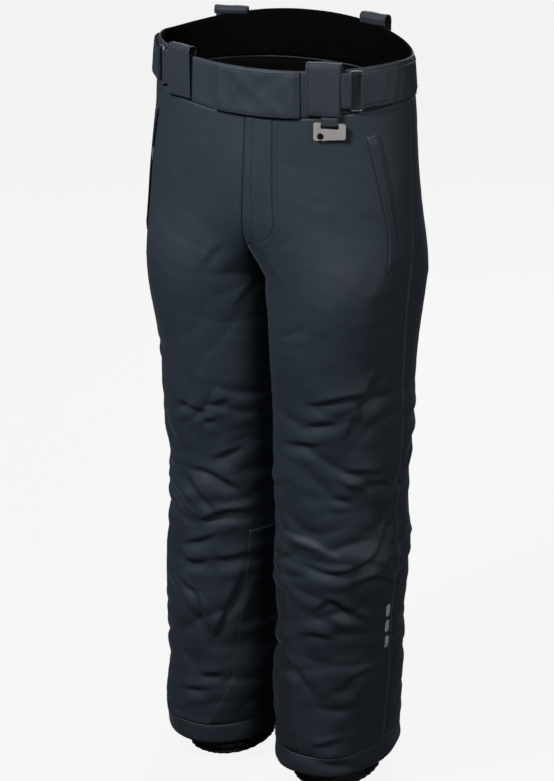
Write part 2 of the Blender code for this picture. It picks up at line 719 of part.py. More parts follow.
# ---- suspender loops ---------------------------------------------------------------------
def build_loops():
    """Four wide loops over the rim, for suspenders or a belt."""
    spots = (("front_left", 1, FRONT_LOOP_U, 0.010), ("front_right", -1, FRONT_LOOP_U, 0.010),
             ("rear_left", 1, REAR_LEFT_LOOP_U, 0.013),
             ("rear_right", -1, REAR_RIGHT_LOOP_U, 0.013))
    for word, side, u, above in spots:
        seam, rim = curve_round(WAIST_SEAM, u), curve_round(WAIST_RIM, u)
        origin, back, out = tangent_frame(side, u, (seam + rim) / 2)
        # offset outward, height, and how much the strap faces outward and upward there
        path = [(0.0036, seam + 0.0010, 0.8, 0.6), (0.0052, seam + 0.0060, 1.0, 0.0),
                (0.0052, rim - 0.0040, 1.0, 0.0), (0.0048, rim + above * 0.6, 0.9, 0.4),
                (0.0026, rim + above, 0.3, 1.0), (-0.0040, rim + above, -0.3, 1.0),
                (-0.0072, rim + above * 0.6, -0.9, 0.4), (-0.0078, rim - 0.0040, -1.0, 0.0),
                (-0.0078, rim - LOOP_TUCK, -1.0, 0.0)]
        stations = []
        for offset, z, facing_out, facing_up in path:
            middle = Vector((origin.x, origin.y, z)) + out * offset
            facing = (out * facing_out + Vector((0, 0, facing_up))).normalized()
            stations.append((middle - back * (LOOP_WIDTH / 2), middle + back * (LOOP_WIDTH / 2),
                             facing))
        strip("suspender_loop_" + word, "webbing", stations, LOOP_THICK)


# ---- side adjusters ----------------------------------------------------------------------
def ring_frame(side):
    """Middle of the adjuster ring, the direction towards the back, and outward."""
    z = waist_height(RING_U, 0.5)
    origin, back, out = tangent_frame(side, RING_U, z)
    return origin + out * RING_LIFT, back, out


def build_ring(side, word):
    """A rectangular wire ring that turns on its front bar."""
    centre, back, out = ring_frame(side)
    corner = 0.003
    path = []
    for sign_b, sign_z, start in ((1, 1, 0), (-1, 1, 90), (-1, -1, 180), (1, -1, 270)):
        for step in (0, 45, 90):
            turn = math.radians(start + step)
            b = sign_b * (RING_HALF_WIDTH - corner) + corner * math.cos(turn)
            z = sign_z * (RING_HALF_HEIGHT - corner) + corner * math.sin(turn)
            path.append(centre + back * b + Vector((0, 0, z)))
    points, faces = [], []
    wire = round_outline(RING_WIRE, 8)
    for k, spot in enumerate(path):
        run = (path[(k + 1) % len(path)] - path[k - 1]).normalized()
        sideways = run.cross(out).normalized()
        points += [spot + sideways * a + out * b for a, b in wire]
    n = len(wire)
    for k in range(len(path)):
        here = [k * n + i for i in range(n)]
        there = [((k + 1) % len(path)) * n + i for i in range(n)]
        faces += join_loops(here, there, True)
    add_object("adjuster_ring_" + word, "ring_metal", points, faces,
               centre - back * RING_HALF_WIDTH)


def bar_wrap(bar, back, out, half_height, turns, reach):
    """Stations of a strap that is bent round an upright bar, at angles given in degrees."""
    stations = []
    for degrees in turns:
        turn = math.radians(degrees)
        facing = back * math.cos(turn) + out * math.sin(turn)
        spot = bar + facing * reach
        up = Vector((0, 0, half_height))
        stations.append((spot - up, spot + up, facing))
    return stations


def build_adjusters():
    """Keeper, ring, strap, its loose end and the hook pad of each side adjuster."""
    reach = RING_WIRE + GAP + STRAP_THICK / 2
    for side, word in ((1, "left"), (-1, "right")):
        build_ring(side, word)
        centre, back, out = ring_frame(side)
        up = Vector((0, 0, STRAP_HALF_HEIGHT))
        front_bar = centre - back * RING_HALF_WIDTH
        rear_bar = centre + back * RING_HALF_WIDTH
        # the keeper wraps the front bar and runs forward in two plies
        wrap = bar_wrap(front_bar, back, out, STRAP_HALF_HEIGHT, (90, 45, 0, -45, -90), reach)
        upper = front_bar - back * KEEPER_LENGTH - out * (reach - 0.0025)
        lower = front_bar - back * KEEPER_LENGTH - out * reach
        stations = [(upper - up, upper + up, out)] + wrap + [(lower - up, lower + up, -out)]
        strip("adjuster_keeper_" + word, "webbing", stations, STRAP_THICK)
        # the loose end wraps the rear bar and runs back along the waistband
        wrap = bar_wrap(rear_bar, back, out, STRAP_HALF_HEIGHT, (270, 225, 180, 135, 90), reach)
        stations = list(wrap)
        for k in range(1, 9):
            u = RING_U + 0.075 + 0.42 * k / 8
            stations.append(strap_station(side, u, END_OFFSET, STRAP_HALF_HEIGHT - 0.0003 * k))
        strip("adjuster_strap_end_" + word, "trim", stations, STRAP_THICK, rear_bar)
        stations = [strap_station(side, RING_U + 0.215 + 0.20 * k / 5, PAD_OFFSET,
                                  PAD_HALF_HEIGHT) for k in range(6)]
        strip("hook_pad_" + word, "elastic", stations, PAD_THICK, rear_bar)
        stations = [strap_station(side, RING_U + 0.105 + 0.62 * k / 12, STRAP_OFFSET,
                                  INNER_STRAP_HALF_HEIGHT) for k in range(13)]
        strip("adjuster_strap_" + word, "webbing", stations, STRAP_THICK)


def strap_station(side, u, offset, half_height):
    """A station of a strap that lies level along the waistband."""
    z = waist_height(u, 0.5)
    out = skin_normal(side, u, z)
    return lift(side, u, z - half_height, offset), lift(side, u, z + half_height, offset), out


# ---- ticket plate ------------------------------------------------------------------------
def build_ticket_plate():
    """A metal plate that hangs from a short webbing under the front left loop."""
    seam = curve_round(WAIST_SEAM, PLATE_U)
    origin, back, out = tangent_frame(1, PLATE_U, seam)
    hang = origin + out * PLATE_LIFT
    pivot_z = seam - PLATE_DROP
    # section of the webbing: down the front, through the slot and up the rear
    half, ply = 0.0014, 0.0009
    section_path = [(half + ply, 0.0093), (half + ply, -0.0006), (half - 0.0002, -0.0016),
                    (-half + 0.0002, -0.0016), (-half - ply, -0.0006), (-half - ply, 0.0093),
                    (-half, 0.0093), (-half, -0.0002), (-half + 0.0006, -0.0007),
                    (half - 0.0006, -0.0007), (half, -0.0002), (half, 0.0093)]
    base = Vector((hang.x, hang.y, pivot_z))
    ends = [(base + back * d, out, Vector((0, 0, 1))) for d in (-TICKET_HALF_WIDTH, TICKET_HALF_WIDTH)]
    sweep("ticket_webbing", "webbing", section_path, ends)
    width, slope, cut = PLATE_WIDTH / 2, 0.003, PLATE_CORNER
    top = 0.0030
    low = top - PLATE_HEIGHT
    outline = [(-width + cut, top), (width - cut, top), (width, top - cut),
               (width, low + slope + cut), (width - cut, low + slope),
               (-width + cut, low), (-width, low + cut), (-width, top - cut)]
    faces_at = [(base + out * d, back, Vector((0, 0, 1)))
                for d in (-PLATE_THICK / 2, PLATE_THICK / 2)]
    pivot = base + Vector((0, 0, 0.0017))
    plate = sweep("ticket_plate", "plate_metal", outline, faces_at, pivot)
    through = [(base + out * d, back, Vector((0, 0, 1))) for d in (-0.004, 0.004)]
    slot = [(a, b - 0.0022) for a, b in box_outline(SLOT_HALF_LENGTH, SLOT_HALF_HEIGHT)]
    combine(plate, sweep("plate_slot_helper", "plate_metal", slot, through), "DIFFERENCE")
    eye = base - back * 0.0120 - Vector((0, 0, 0.0150)) - out * 0.004
    combine(plate, disc("plate_eye_helper", "plate_metal", eye, out, EYE_RADIUS, 0.008),
            "DIFFERENCE")


def build():
    """Model the whole garment in an empty scene."""
    for obj in list(bpy.data.objects):
        bpy.data.objects.remove(obj)
    build_shell()
    build_inner_layers()
    build_hem()
    build_gaiters()
    build_waistband()
    build_tab()
    build_fly_flap()
    build_fly_zip()
    build_pockets()
    build_loops()
    build_adjusters()
    build_ticket_plate()


build()
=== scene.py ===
"""Looks of the insulated ski pants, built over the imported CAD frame."""
import math

import bpy
import numpy as np
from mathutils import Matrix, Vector


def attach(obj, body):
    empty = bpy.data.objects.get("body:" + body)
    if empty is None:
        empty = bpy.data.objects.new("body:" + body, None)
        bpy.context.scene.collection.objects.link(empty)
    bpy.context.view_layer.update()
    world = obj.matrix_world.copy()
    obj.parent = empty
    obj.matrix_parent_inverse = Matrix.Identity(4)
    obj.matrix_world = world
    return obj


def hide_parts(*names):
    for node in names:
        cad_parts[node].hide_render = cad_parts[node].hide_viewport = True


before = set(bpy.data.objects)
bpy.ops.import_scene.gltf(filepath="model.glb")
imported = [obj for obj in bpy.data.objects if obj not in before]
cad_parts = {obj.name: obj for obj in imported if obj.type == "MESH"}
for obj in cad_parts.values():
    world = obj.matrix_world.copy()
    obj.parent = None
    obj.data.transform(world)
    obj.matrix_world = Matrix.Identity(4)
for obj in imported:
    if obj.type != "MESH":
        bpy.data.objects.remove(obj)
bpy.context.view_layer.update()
SIDES = ((1, "left"), (-1, "right"))
MM = 0.001
AMBIENT = 0.09

# ---- the skin: the same garment form as the CAD ------------------------------------------
# height, then half widths outwards and inwards, front and back depths and the depth centre
MEASUREMENTS = np.array([
    (0.000, 0.169, 0.011, 0.107, 0.114, -0.0030), (0.035, 0.170, 0.011, 0.106, 0.112, -0.0030),
    (0.200, 0.176, 0.011, 0.099, 0.101, -0.0040), (0.320, 0.180, 0.009, 0.093, 0.094, -0.0060),
    (0.440, 0.182, 0.007, 0.092, 0.092, -0.0080), (0.540, 0.185, 0.006, 0.095, 0.096, -0.0080),
    (0.640, 0.188, 0.004, 0.101, 0.105, -0.0060), (0.720, 0.194, 0.002, 0.104, 0.112, -0.0060),
    (0.770, 0.199, 0.000, 0.104, 0.114, -0.0060), (0.850, 0.199, 0.000, 0.099, 0.110, -0.0080),
    (0.920, 0.196, 0.000, 0.094, 0.100, -0.0080), (0.980, 0.192, 0.000, 0.090, 0.093, -0.0080),
    (1.040, 0.187, 0.000, 0.088, 0.089, -0.0080), (1.120, 0.184, 0.000, 0.088, 0.088, -0.0080)])
HEIGHTS, SECTIONS = MEASUREMENTS[:, 0], MEASUREMENTS[:, 1:]
SLOPES = np.gradient(SECTIONS, HEIGHTS, axis=0)
SECTION_POWER, THIGH_POWER, THIGH_REACH = 2.15, 0.45, 0.10
CROTCH_Z, HIP_Z, THIGH_Z = 0.741, 0.830, 0.700
HEM_Z, HEM_BAND = 0.035, 0.028
WAIST_SEAM = (0.959, 0.986, 1.003)
WAIST_RIM = (1.021, 1.038, 1.067)
SEAM_U, GAP = 0.0007, 0.0003            # between neighbouring pieces, in u and in metres
# how far each layer's outer face stands off the skin, and its thickness
SHELL_LAYER, HEM_LAYER, GUARD_LAYER = (0.0, 0.0012), (0.0002, 0.0026), (0.0012, 0.0008)
WADDING_LAYER, LINING_LAYER, BAG_LAYER = (-0.0070, 0.0025), (-0.0101, 0.0008), (-0.0038, 0.0012)
BAND_LAYER, FACING_LAYER, TAB_LAYER = (0.0008, 0.0024), (-0.0027, 0.0012), (0.0056, 0.0020)
WELT_LAYER, DASH_LAYER = (0.0024, 0.0012), (0.00028, 0.00026)
HEM_MARGIN, GUARD_MARGIN = 0.0030, 0.0025
GUARD_LOW, GUARD_TOP, GUARD_REAR = 0.066, 0.360, -1 - 4 / 9
FLY_WIDTH_U, FLY_BOTTOM_Z, FLY_ROUND_Z = 0.118, 0.788, 0.822
POCKET_TOP, POCKET_END = (-0.345, 0.936), (-0.150, 0.775)
FRONT_LOOP_U, REAR_LEFT_LOOP_U, REAR_RIGHT_LOOP_U, LOOP_WIDTH = -0.626, 0.690, 0.540, 0.046
LOOP_TUCK, PLATE_U = 0.0010, -0.592
RING_U, RING_LIFT, RING_HALF_WIDTH, RING_WIRE = -0.4425, 0.0047, 0.0080, 0.0014
METRES_PER_U = 0.30                     # round a leg or half of the waist, about


def section(z):
    i = np.clip(np.searchsorted(HEIGHTS, z, side="right") - 1, 0, len(HEIGHTS) - 2)
    span = HEIGHTS[i + 1] - HEIGHTS[i]
    t = np.clip((z - HEIGHTS[i]) / span, 0, 1)
    near, far = 2 * t**3 - 3 * t**2 + 1, 3 * t**2 - 2 * t**3
    leave, arrive = (t**3 - 2 * t**2 + t) * span, (t**3 - t**2) * span
    parts = (near[..., None] * SECTIONS[i] + leave[..., None] * SLOPES[i]
             + far[..., None] * SECTIONS[i + 1] + arrive[..., None] * SLOPES[i + 1])
    return np.moveaxis(parts, -1, 0)


def folded(side, u, z):
    """Places past u = -1 or +1 brought back to the side they are on."""
    side, u, z = np.broadcast_arrays(*(np.asarray(v, float) for v in (side, u, z)))
    over, below = np.abs(u) > 1, z < CROTCH_Z
    turned = np.where(below, u - np.copysign(2.0, u), np.copysign(2.0, u) - u)
    return np.where(over & ~below, -side, side), np.where(over, turned, u), z


def power_of(value, power):
    return np.copysign(np.abs(value)**power, value)


def bulge(share, power):
    return np.maximum(1 - np.minimum(np.abs(share), 1)**power, 0)**(1 / power)


def skin(side, u, z):
    """Places on the garment's form; u runs from -1 at the front over 0 at the outseam to 1."""
    side, u, z = folded(side, u, z)
    outer, inner, front, back, centre = section(z)
    inner = np.where(z >= CROTCH_Z, 0.0, inner)
    power = SECTION_POWER + THIGH_POWER * np.exp(-((z - CROTCH_Z) / THIGH_REACH)**2)
    torso = 1 - (1 - np.clip((z - CROTCH_Z) / (HIP_Z - CROTCH_Z), 0, 1))**2
    middle, half = (outer + inner) / 2, (outer - inner) / 2
    x = (torso * outer * power_of(np.cos(u * np.pi / 2), 2 / power)
         + (1 - torso) * (middle + half * power_of(np.cos(u * np.pi), 2 / power)))
    # between the crotch and the pockets the depth goes from leg to torso without a crease
    share = torso + ((smooth(z, THIGH_Z, HIP_Z) - torso) * smooth(x, 0.020, 0.060)
                     * smooth(np.abs(u), 0.17, 0.27))
    depth = np.sqrt(share * bulge(x / outer, power)**2
                    + (1 - share) * bulge((x - middle) / half, power)**2)
    return np.stack([side * x, centre + np.where(u < 0, -front, back) * depth, z], -1)


def unit(v):
    return v / np.maximum(np.linalg.norm(v, axis=-1, keepdims=True), 1e-9)


def skin_normal(side, u, z):
    side = np.asarray(side, float)
    along = skin(side, u + 0.006, z) - skin(side, u - 0.006, z)
    up = skin(side, u, z + 0.002) - skin(side, u, z - 0.002)
    return unit(np.cross(along, up) * side[..., None])


def curve_round(values, u):
    u = np.asarray(u, float)
    u = np.where(np.abs(u) > 1, np.copysign(2.0, u) - u, u)
    front, middle, back = values
    return middle + (np.where(u < 0, front, back) - middle) * np.sin(np.abs(u) * np.pi / 2)**2


def waist_height(u, share):
    low, high = curve_round(WAIST_SEAM, u), curve_round(WAIST_RIM, u)
    return low + (high - low) * share


def tangent_frame(side, u, z):
    """A place on the skin, the level way back along it and the level way out."""
    out = unit(skin_normal(side, u, z) * (1, 1, 0))
    return skin(side, u, z), np.cross((0, 0, 1), out) * side, out


def smooth(x, low, high):
    t = np.clip((x - low) / (high - low), 0, 1)
    return t * t * (3 - 2 * t)


def bump(x, centre, width):
    return np.exp(-((x - centre) / width)**2)


# ---- folds ---------------------------------------------------------------------------------
def spline(points, count):
    """A smooth line through a few points."""
    p = np.asarray(points, float)
    if len(p) == 2:
        return p[0] + (p[1] - p[0]) * np.linspace(0, 1, count)[:, None]
    p = np.vstack([2 * p[0] - p[1], p, 2 * p[-1] - p[-2]])
    t = np.linspace(0, len(p) - 3 - 1e-9, count)
    k = t.astype(int)
    f = (t - k)[:, None]
    a, b, c, d = p[k], p[k + 1], p[k + 2], p[k + 3]
    return 0.5 * (2 * b + (c - a) * f + (2 * a - 5 * b + 4 * c - d) * f**2
                  + (3 * b - a - 3 * c + d) * f**3)


FOLD_DEPTH = 2.3                        # every crease's depth is multiplied by this
# side, depth in mm (below 0 for a ridge), width in mm, then u and z along the crease
FOLDS = (
    # near leg: thigh and knee
    (1, 3.0, 7, (-.50, .582), (-.33, .598), (-.195, .602)),
    (1, 2.4, 7, (-.53, .548), (-.42, .560), (-.32, .564)),
    (1, 2.6, 7, (-.635, .520), (-.52, .526), (-.42, .530)),
    (1, 2.4, 9, (-.15, .632), (-.23, .588), (-.315, .538)),
    (1, 2.6, 6, (-.31, .494), (-.22, .492), (-.115, .486)),
    (1, 2.8, 6, (-.22, .478), (-.12, .470), (-.01, .460)),
    (1, 1.6, 5, (-.34, .484), (-.28, .472), (-.23, .466)),
    (1, 1.6, 5, (-.385, .456), (-.32, .454), (-.275, .452)),
    # near leg: shin
    (1, -3.0, 8, (-.68, .388), (-.47, .386), (-.32, .370)),
    (1, 4.6, 7, (-.52, .354), (-.39, .348), (-.265, .352), (-.14, .376), (-.09, .402), (-.10, .444)),
    (1, 3.4, 7, (-.27, .332), (-.14, .336), (.03, .310)),
    (1, 3.4, 7, (-.44, .288), (-.36, .304), (-.255, .284), (-.07, .256)),
    (1, 2.2, 7, (-.52, .242), (-.44, .252), (-.33, .246)),
    (1, 3.2, 7, (-.31, .166), (-.195, .190), (-.07, .190)),
    (1, 2.4, 7, (-.43, .082), (-.27, .092)),
    (1, 2.2, 8, (-.64, .205), (-.50, .186), (-.40, .150)),
    (1, 2.4, 8, (-.85, .470), (-.74, .452), (-.62, .462)),
    # far leg
    (-1, 2.6, 7, (-.43, .548), (-.60, .540)),
    (-1, 2.4, 7, (-.59, .550), (-.71, .558)),
    (-1, 2.0, 6, (-.57, .524), (-.65, .530)),
    (-1, 2.4, 7, (-.62, .470), (-.775, .486)),
    (-1, 3.0, 7, (-.47, .450), (-.59, .450), (-.695, .436), (-.76, .422)),
    (-1, 2.8, 7, (-.455, .444), (-.635, .394)),
    (-1, 2.4, 7, (-.42, .402), (-.53, .376)),
    (-1, 5.0, 8, (-.555, .374), (-.685, .392), (-.85, .388)),
    (-1, 2.6, 7, (-.45, .334), (-.64, .358)),
    (-1, 2.4, 7, (-.42, .324), (-.495, .312), (-.60, .318)),
    (-1, 3.2, 8, (-.62, .320), (-.81, .326)),
    (-1, 3.0, 7, (-.38, .288), (-.54, .260), (-.59, .204)),
    (-1, 3.0, 7, (-.77, .298), (-.62, .192)),
    (-1, 2.8, 7, (-.54, .140), (-.675, .144)),
    (-1, 2.2, 6, (-.445, .114), (-.615, .122)),
    (-1, 2.0, 6, (-.24, .086), (-.47, .076)),
    # crotch: creases that fan out over both thighs
    (1, 1.5, 7, (-.97, .790), (-.80, .762), (-.62, .742)),
    (1, 1.5, 7, (-.99, .760), (-.86, .726), (-.74, .690)),
    (-1, 1.5, 7, (-.97, .792), (-.80, .768), (-.64, .750)),
    (-1, 1.5, 7, (-.99, .760), (-.86, .730), (-.74, .692)),
    # backs of the knees and thighs
    (1, 3.4, 9, (.20, .600), (.42, .576), (.66, .590)),
    (1, 3.8, 9, (.12, .520), (.36, .500), (.60, .512), (.80, .540)),
    (1, 3.8, 9, (.25, .452), (.50, .440), (.78, .456)),
    (1, 3.4, 9, (.10, .372), (.38, .352), (.62, .372)),
    (1, 3.0, 9, (.30, .280), (.55, .296), (.80, .280)),
    (1, 2.8, 9, (.14, .196), (.42, .176), (.62, .190)),
    (1, 2.4, 8, (.40, .110), (.66, .096)),
    (1, 2.6, 9, (.96, .790), (.78, .742), (.60, .712)),
    (1, 2.2, 9, (.97, .742), (.84, .690), (.74, .650)),
    (-1, 3.2, 9, (.18, .586), (.40, .600), (.70, .578)),
    (-1, 3.8, 9, (.16, .508), (.44, .522), (.74, .500)),
    (-1, 3.6, 9, (.22, .436), (.46, .452), (.76, .436)),
    (-1, 3.4, 9, (.14, .352), (.42, .372), (.70, .350)),
    (-1, 3.0, 9, (.26, .270), (.52, .256), (.76, .276)),
    (-1, 2.8, 9, (.18, .172), (.44, .190), (.68, .172)),
    (-1, 2.4, 8, (.36, .094), (.64, .108)),
    (-1, 2.6, 9, (.96, .786), (.78, .748), (.60, .720)),
    (-1, 2.2, 9, (.97, .738), (.84, .694), (.74, .656)),
)


def ripples(points, seed, stretch, count=14):
    """A smooth random field, from -1 to +1, made of plane waves; stretch holds the wave
    lengths along x, y and z."""
    rng = np.random.default_rng(seed)
    total = np.zeros(points.shape[:-1])
    for _ in range(count):
        way = unit(rng.normal(size=3)) * 2 * np.pi / np.asarray(stretch) * rng.uniform(.6, 1.5)
        total += np.sin(points @ way + rng.uniform(0, 2 * np.pi))
    return total / math.sqrt(count)


def pleats(points, tilt, pitch, seed):
    """Puffs of cloth between sharp valleys, 0 in a valley and 1 on a crown; the valleys run
    level at tilt 0 and climb to the wearer's left as it grows."""
    bend = ripples(points, seed, (.20, .20, .13), 8)
    phase = (points[..., 2] * math.cos(tilt) - points[..., 0] * math.sin(tilt)) / pitch
    return np.abs(np.sin(np.pi * (phase + 0.55 * bend)))**0.85


def fold_field(side, u, z, points, normals):
    total = np.zeros(z.shape)
    for fold in FOLDS:
        fold_side, depth, width = fold[0], fold[1] * FOLD_DEPTH * MM, fold[2] * MM
        line = np.array(fold[3:])
        low, high = line[:, 1].min() - 0.05, line[:, 1].max() + 0.05
        near = (side == fold_side) & (z > low) & (z < high)
        if not near.any():
            continue
        path = spline(line, 48)
        spots = skin(np.full(48, float(fold_side)), path[:, 0], path[:, 1])
        runs = unit(np.gradient(spots, axis=0))
        p, n = points[near], normals[near]
        gap = np.linalg.norm(p[:, None] - spots[None], axis=2)
        k = gap.argmin(1)
        across = np.cross(n, runs[k])
        across *= np.sign(across[:, 2:3] + 1e-9)
        d = ((p - spots[k]) * across).sum(1)
        x = d / width
        taper = np.sin(np.pi * (k + 0.5) / 48)**0.7 * np.exp(
            -(np.maximum(gap[np.arange(len(k)), k] - np.abs(d), 0) / width)**2)
        # the cloth above bulges over a narrow valley, and a soft ridge lies below it
        turn = 1 / (1 + np.exp(-x / 0.20))
        shape = (0.85 * turn * np.exp(-np.maximum(x, 0) / 1.9)
                 - 0.80 * (1 - turn) * np.exp(-np.maximum(-x, 0) / 0.9)
                 + 0.40 * bump(x, -2.8, 1.5))
        total[near] += depth * shape * taper
    return total


def pocket_line(share):
    return (POCKET_TOP[0] + (POCKET_END[0] - POCKET_TOP[0]) * share,
            POCKET_TOP[1] + (POCKET_END[1] - POCKET_TOP[1]) * share)


def pocket_distance(u, z):
    """Metres from the pocket's opening."""
    line_u, line_z = pocket_line(np.clip((POCKET_TOP[1] - z) / (POCKET_TOP[1] - POCKET_END[1]),
                                         0, 1))
    return np.hypot((u - line_u) * METRES_PER_U, z - line_z)


PLEAT_MEAN = 0.72


def relief(side, u, z):
    """How far the cloth stands off the skin, in metres."""
    side, u, z = folded(side, u, z)
    points = skin(side, u, z)
    normals = skin_normal(side, u, z)
    total = fold_field(side, u, z, points, normals)
    # creases lie level on the legs; the seat and hips stay smooth
    legs = 1 - smooth(z, 0.58, 0.76)
    shin = bump(z, 0.38, 0.20) + 0.7 * bump(z, 0.15, 0.09)
    wide = ripples(points, 3, (.22, .22, .13))
    tiny = ripples(points, 8, (.05, .05, .020))
    # three sets of pleats, each in its own patches
    rising, falling, short = (
        smooth(ripples(points, seed, stretch), least, 0.9) * (pleats(points, *pleat) - PLEAT_MEAN)
        for seed, stretch, least, pleat in (
            (41, (.16, .16, .13), -0.5, (0.55, 0.062, 11)),
            (43, (.15, .15, .12), -0.4, (-0.50, 0.056, 13)),
            (47, (.12, .12, .09), -0.2, (0.15, 0.030, 19))))
    total += ((1.1 + 0.6 * legs) * wide * (0.6 + 0.4 * legs)
              + (4.8 * rising + 4.2 * falling + 1.8 * short) * shin * legs
              + (2.2 * rising + 1.8 * falling) * (0.25 + 0.75 * legs) * (1 - shin)
              * (1 - 0.6 * smooth(z, 0.78, 0.84))
              + (0.08 + 0.14 * shin * legs) * tiny) * MM
    # the near leg hangs a little fuller at the side, the far one a little slimmer
    flank = bump(u, 0.0, 0.42)
    total += np.where(side > 0, 10.0 * bump(z, 0.36, 0.08) + 5.0 * bump(z, 0.56, 0.07),
                      -11.0 * bump(z, 0.46, 0.18) + 5.0 * bump(z, 0.09, 0.06)) * flank * MM
    # puckers along the side seam and the inseam
    seam = np.minimum(np.abs(u), 1 - np.abs(u)) * METRES_PER_U
    pucker = ripples(points, 53, (.05, .05, .016)) * np.exp(-seam / 0.008)
    total += 0.35 * pucker * MM - 0.30 * np.exp(-(seam / 0.0030)**2) * MM
    # calm by the hardware and at the sewn edges
    calm = smooth(pocket_distance(u, z), 0.006, 0.040)
    fly = (1 - smooth(np.abs(u + 1), FLY_WIDTH_U, FLY_WIDTH_U + 0.10)) * smooth(z, 0.755, 0.80)
    top = 1 - smooth(z, curve_round(WAIST_SEAM, u) - 0.045, curve_round(WAIST_SEAM, u) - 0.004)
    plain = np.where(side > 0, bump(u, -0.034, 0.09) * bump(z, 0.247, 0.05), 0.0)
    total *= (0.10 + 0.90 * calm) * (1 - 0.85 * fly) * top * (1 - 0.8 * plain)
    # the two legs' cloth meets at the centre seams, so it lies flat there
    centre = smooth((1 - np.abs(u)) * METRES_PER_U, 0.001, 0.020)
    total *= 1 - (1 - centre) * smooth(z, 0.69, 0.74)
    hem = 1 - smooth(z, HEM_Z, HEM_Z + 0.05)
    total += hem * 1.6 * ripples(points, 17, (.10, .10, 1.0)) * MM
    return total


# ---- mesh helpers ----------------------------------------------------------------------------
def new_object(name, points, faces, material, uv=None, seam=None):
    mesh = bpy.data.meshes.new(name)
    points = np.asarray(points, np.float32).reshape(-1, 3)
    faces = np.asarray(faces, np.int32)
    mesh.vertices.add(len(points))
    mesh.vertices.foreach_set("co", points.ravel())
    mesh.loops.add(faces.size)
    mesh.loops.foreach_set("vertex_index", faces.ravel())
    mesh.polygons.add(len(faces))
    mesh.polygons.foreach_set("loop_start",
                              np.arange(len(faces), dtype=np.int32) * faces.shape[1])
    mesh.polygons.foreach_set("use_smooth", np.full(len(faces), True))
    mesh.update(calc_edges=True)
    mesh.validate()
    if uv is not None:
        layer = mesh.uv_layers.new(name="cloth")
        index = np.zeros(len(mesh.loops), np.int32)
        mesh.loops.foreach_get("vertex_index", index)
        layer.data.foreach_set("uv", np.asarray(uv, np.float32).reshape(-1, 2)[index].ravel())
        mesh.attributes.new("seam", "FLOAT", "POINT").data.foreach_set(
            "value", np.asarray(seam, np.float32).ravel())
    mesh.materials.append(material)
    obj = bpy.data.objects.new(name, mesh)
    bpy.context.scene.collection.objects.link(obj)
    return obj


def finish_piece(obj, body, nodes=()):
    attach(obj, body)
    if nodes:
        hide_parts(nodes)
    return obj


def grid(rows, columns):
    """Two arrays of one shape, the first changing down the rows, the second along them."""
    return np.meshgrid(rows, columns, indexing="ij")


def grid_quads(rows, columns, closed=False):
    i = np.arange(columns if closed else columns - 1)
    j = np.arange(rows - 1)[:, None]
    k = (i + 1) % columns
    return np.stack([j * columns + i, j * columns + k, (j + 1) * columns + k,
                     (j + 1) * columns + i], -1)


def two_sided(name, outer, inner, quads, flip, uv, seam, material, body, nodes,
              round_by=0.3):
    """A closed piece of cloth between two surfaces, its rim rounded."""
    a, b = outer.reshape(-1, 3).copy(), inner.reshape(-1, 3).copy()
    quads = quads.reshape(-1, 4)
    edges = np.concatenate([quads[:, [0, 1]], quads[:, [1, 2]], quads[:, [2, 3]],
                            quads[:, [3, 0]]])
    _, index, uses = np.unique(np.sort(edges, axis=1), axis=0, return_inverse=True,
                               return_counts=True)
    rim = edges[uses[index.ravel()] == 1]
    border = np.unique(rim)
    middle = (a[border] + b[border]) / 2
    a[border] += (middle - a[border]) * 2 * round_by
    b[border] += (middle - b[border]) * 2 * round_by
    walls = np.stack([rim[:, 1], rim[:, 0], rim[:, 0] + len(a), rim[:, 1] + len(a)], -1)
    faces = np.concatenate([quads, quads[:, ::-1] + len(a), walls])
    obj = new_object(name, np.concatenate([a, b]), faces[:, ::-1] if flip else faces, material,
                     np.concatenate([uv.reshape(-1, 2)] * 2), np.concatenate([seam.ravel()] * 2))
    return finish_piece(obj, body, nodes)


def cloth_line(side, u, z, offset=0.0):
    """Places on the cloth with their normals, for a row of stitches."""
    u, z = np.broadcast_arrays(u, z)
    side = np.full(u.shape, float(side))
    normals = skin_normal(side, u, z)
    return skin(side, u, z) + normals * (offset + relief(side, u, z))[:, None], normals


def cloth_panel(name, side, u, z, layer, material, nodes, body="pants", share=1.0,
                closed=False, keep=None, seam=None, extra=0.0, inner_extra=None, round_by=0.3):
    """A panel of cloth over the skin, on a grid of places."""
    outer, thick = layer
    base, normal = skin(side, u, z), skin_normal(side, u, z)
    d = (relief(side, u, z) * share if share else np.zeros(u.shape)) + extra
    under = d if inner_extra is None else d - extra + inner_extra
    quads = grid_quads(*u.shape, closed)
    obj = two_sided(name, base + normal * (outer + d)[..., None],
                    base + normal * (outer - thick + under)[..., None],
                    quads if keep is None else quads[keep], side < 0,
                    np.stack([u * METRES_PER_U, z], -1),
                    np.ones(u.shape) if seam is None else seam, material, body, nodes,
                    round_by)
    return obj


def metres_along(points):
    return np.concatenate([[0], np.cumsum(np.linalg.norm(np.diff(points, axis=0), axis=1))])


def sample(where, along, values):
    return np.stack([np.interp(where, along, values[:, k]) for k in range(3)], -1)


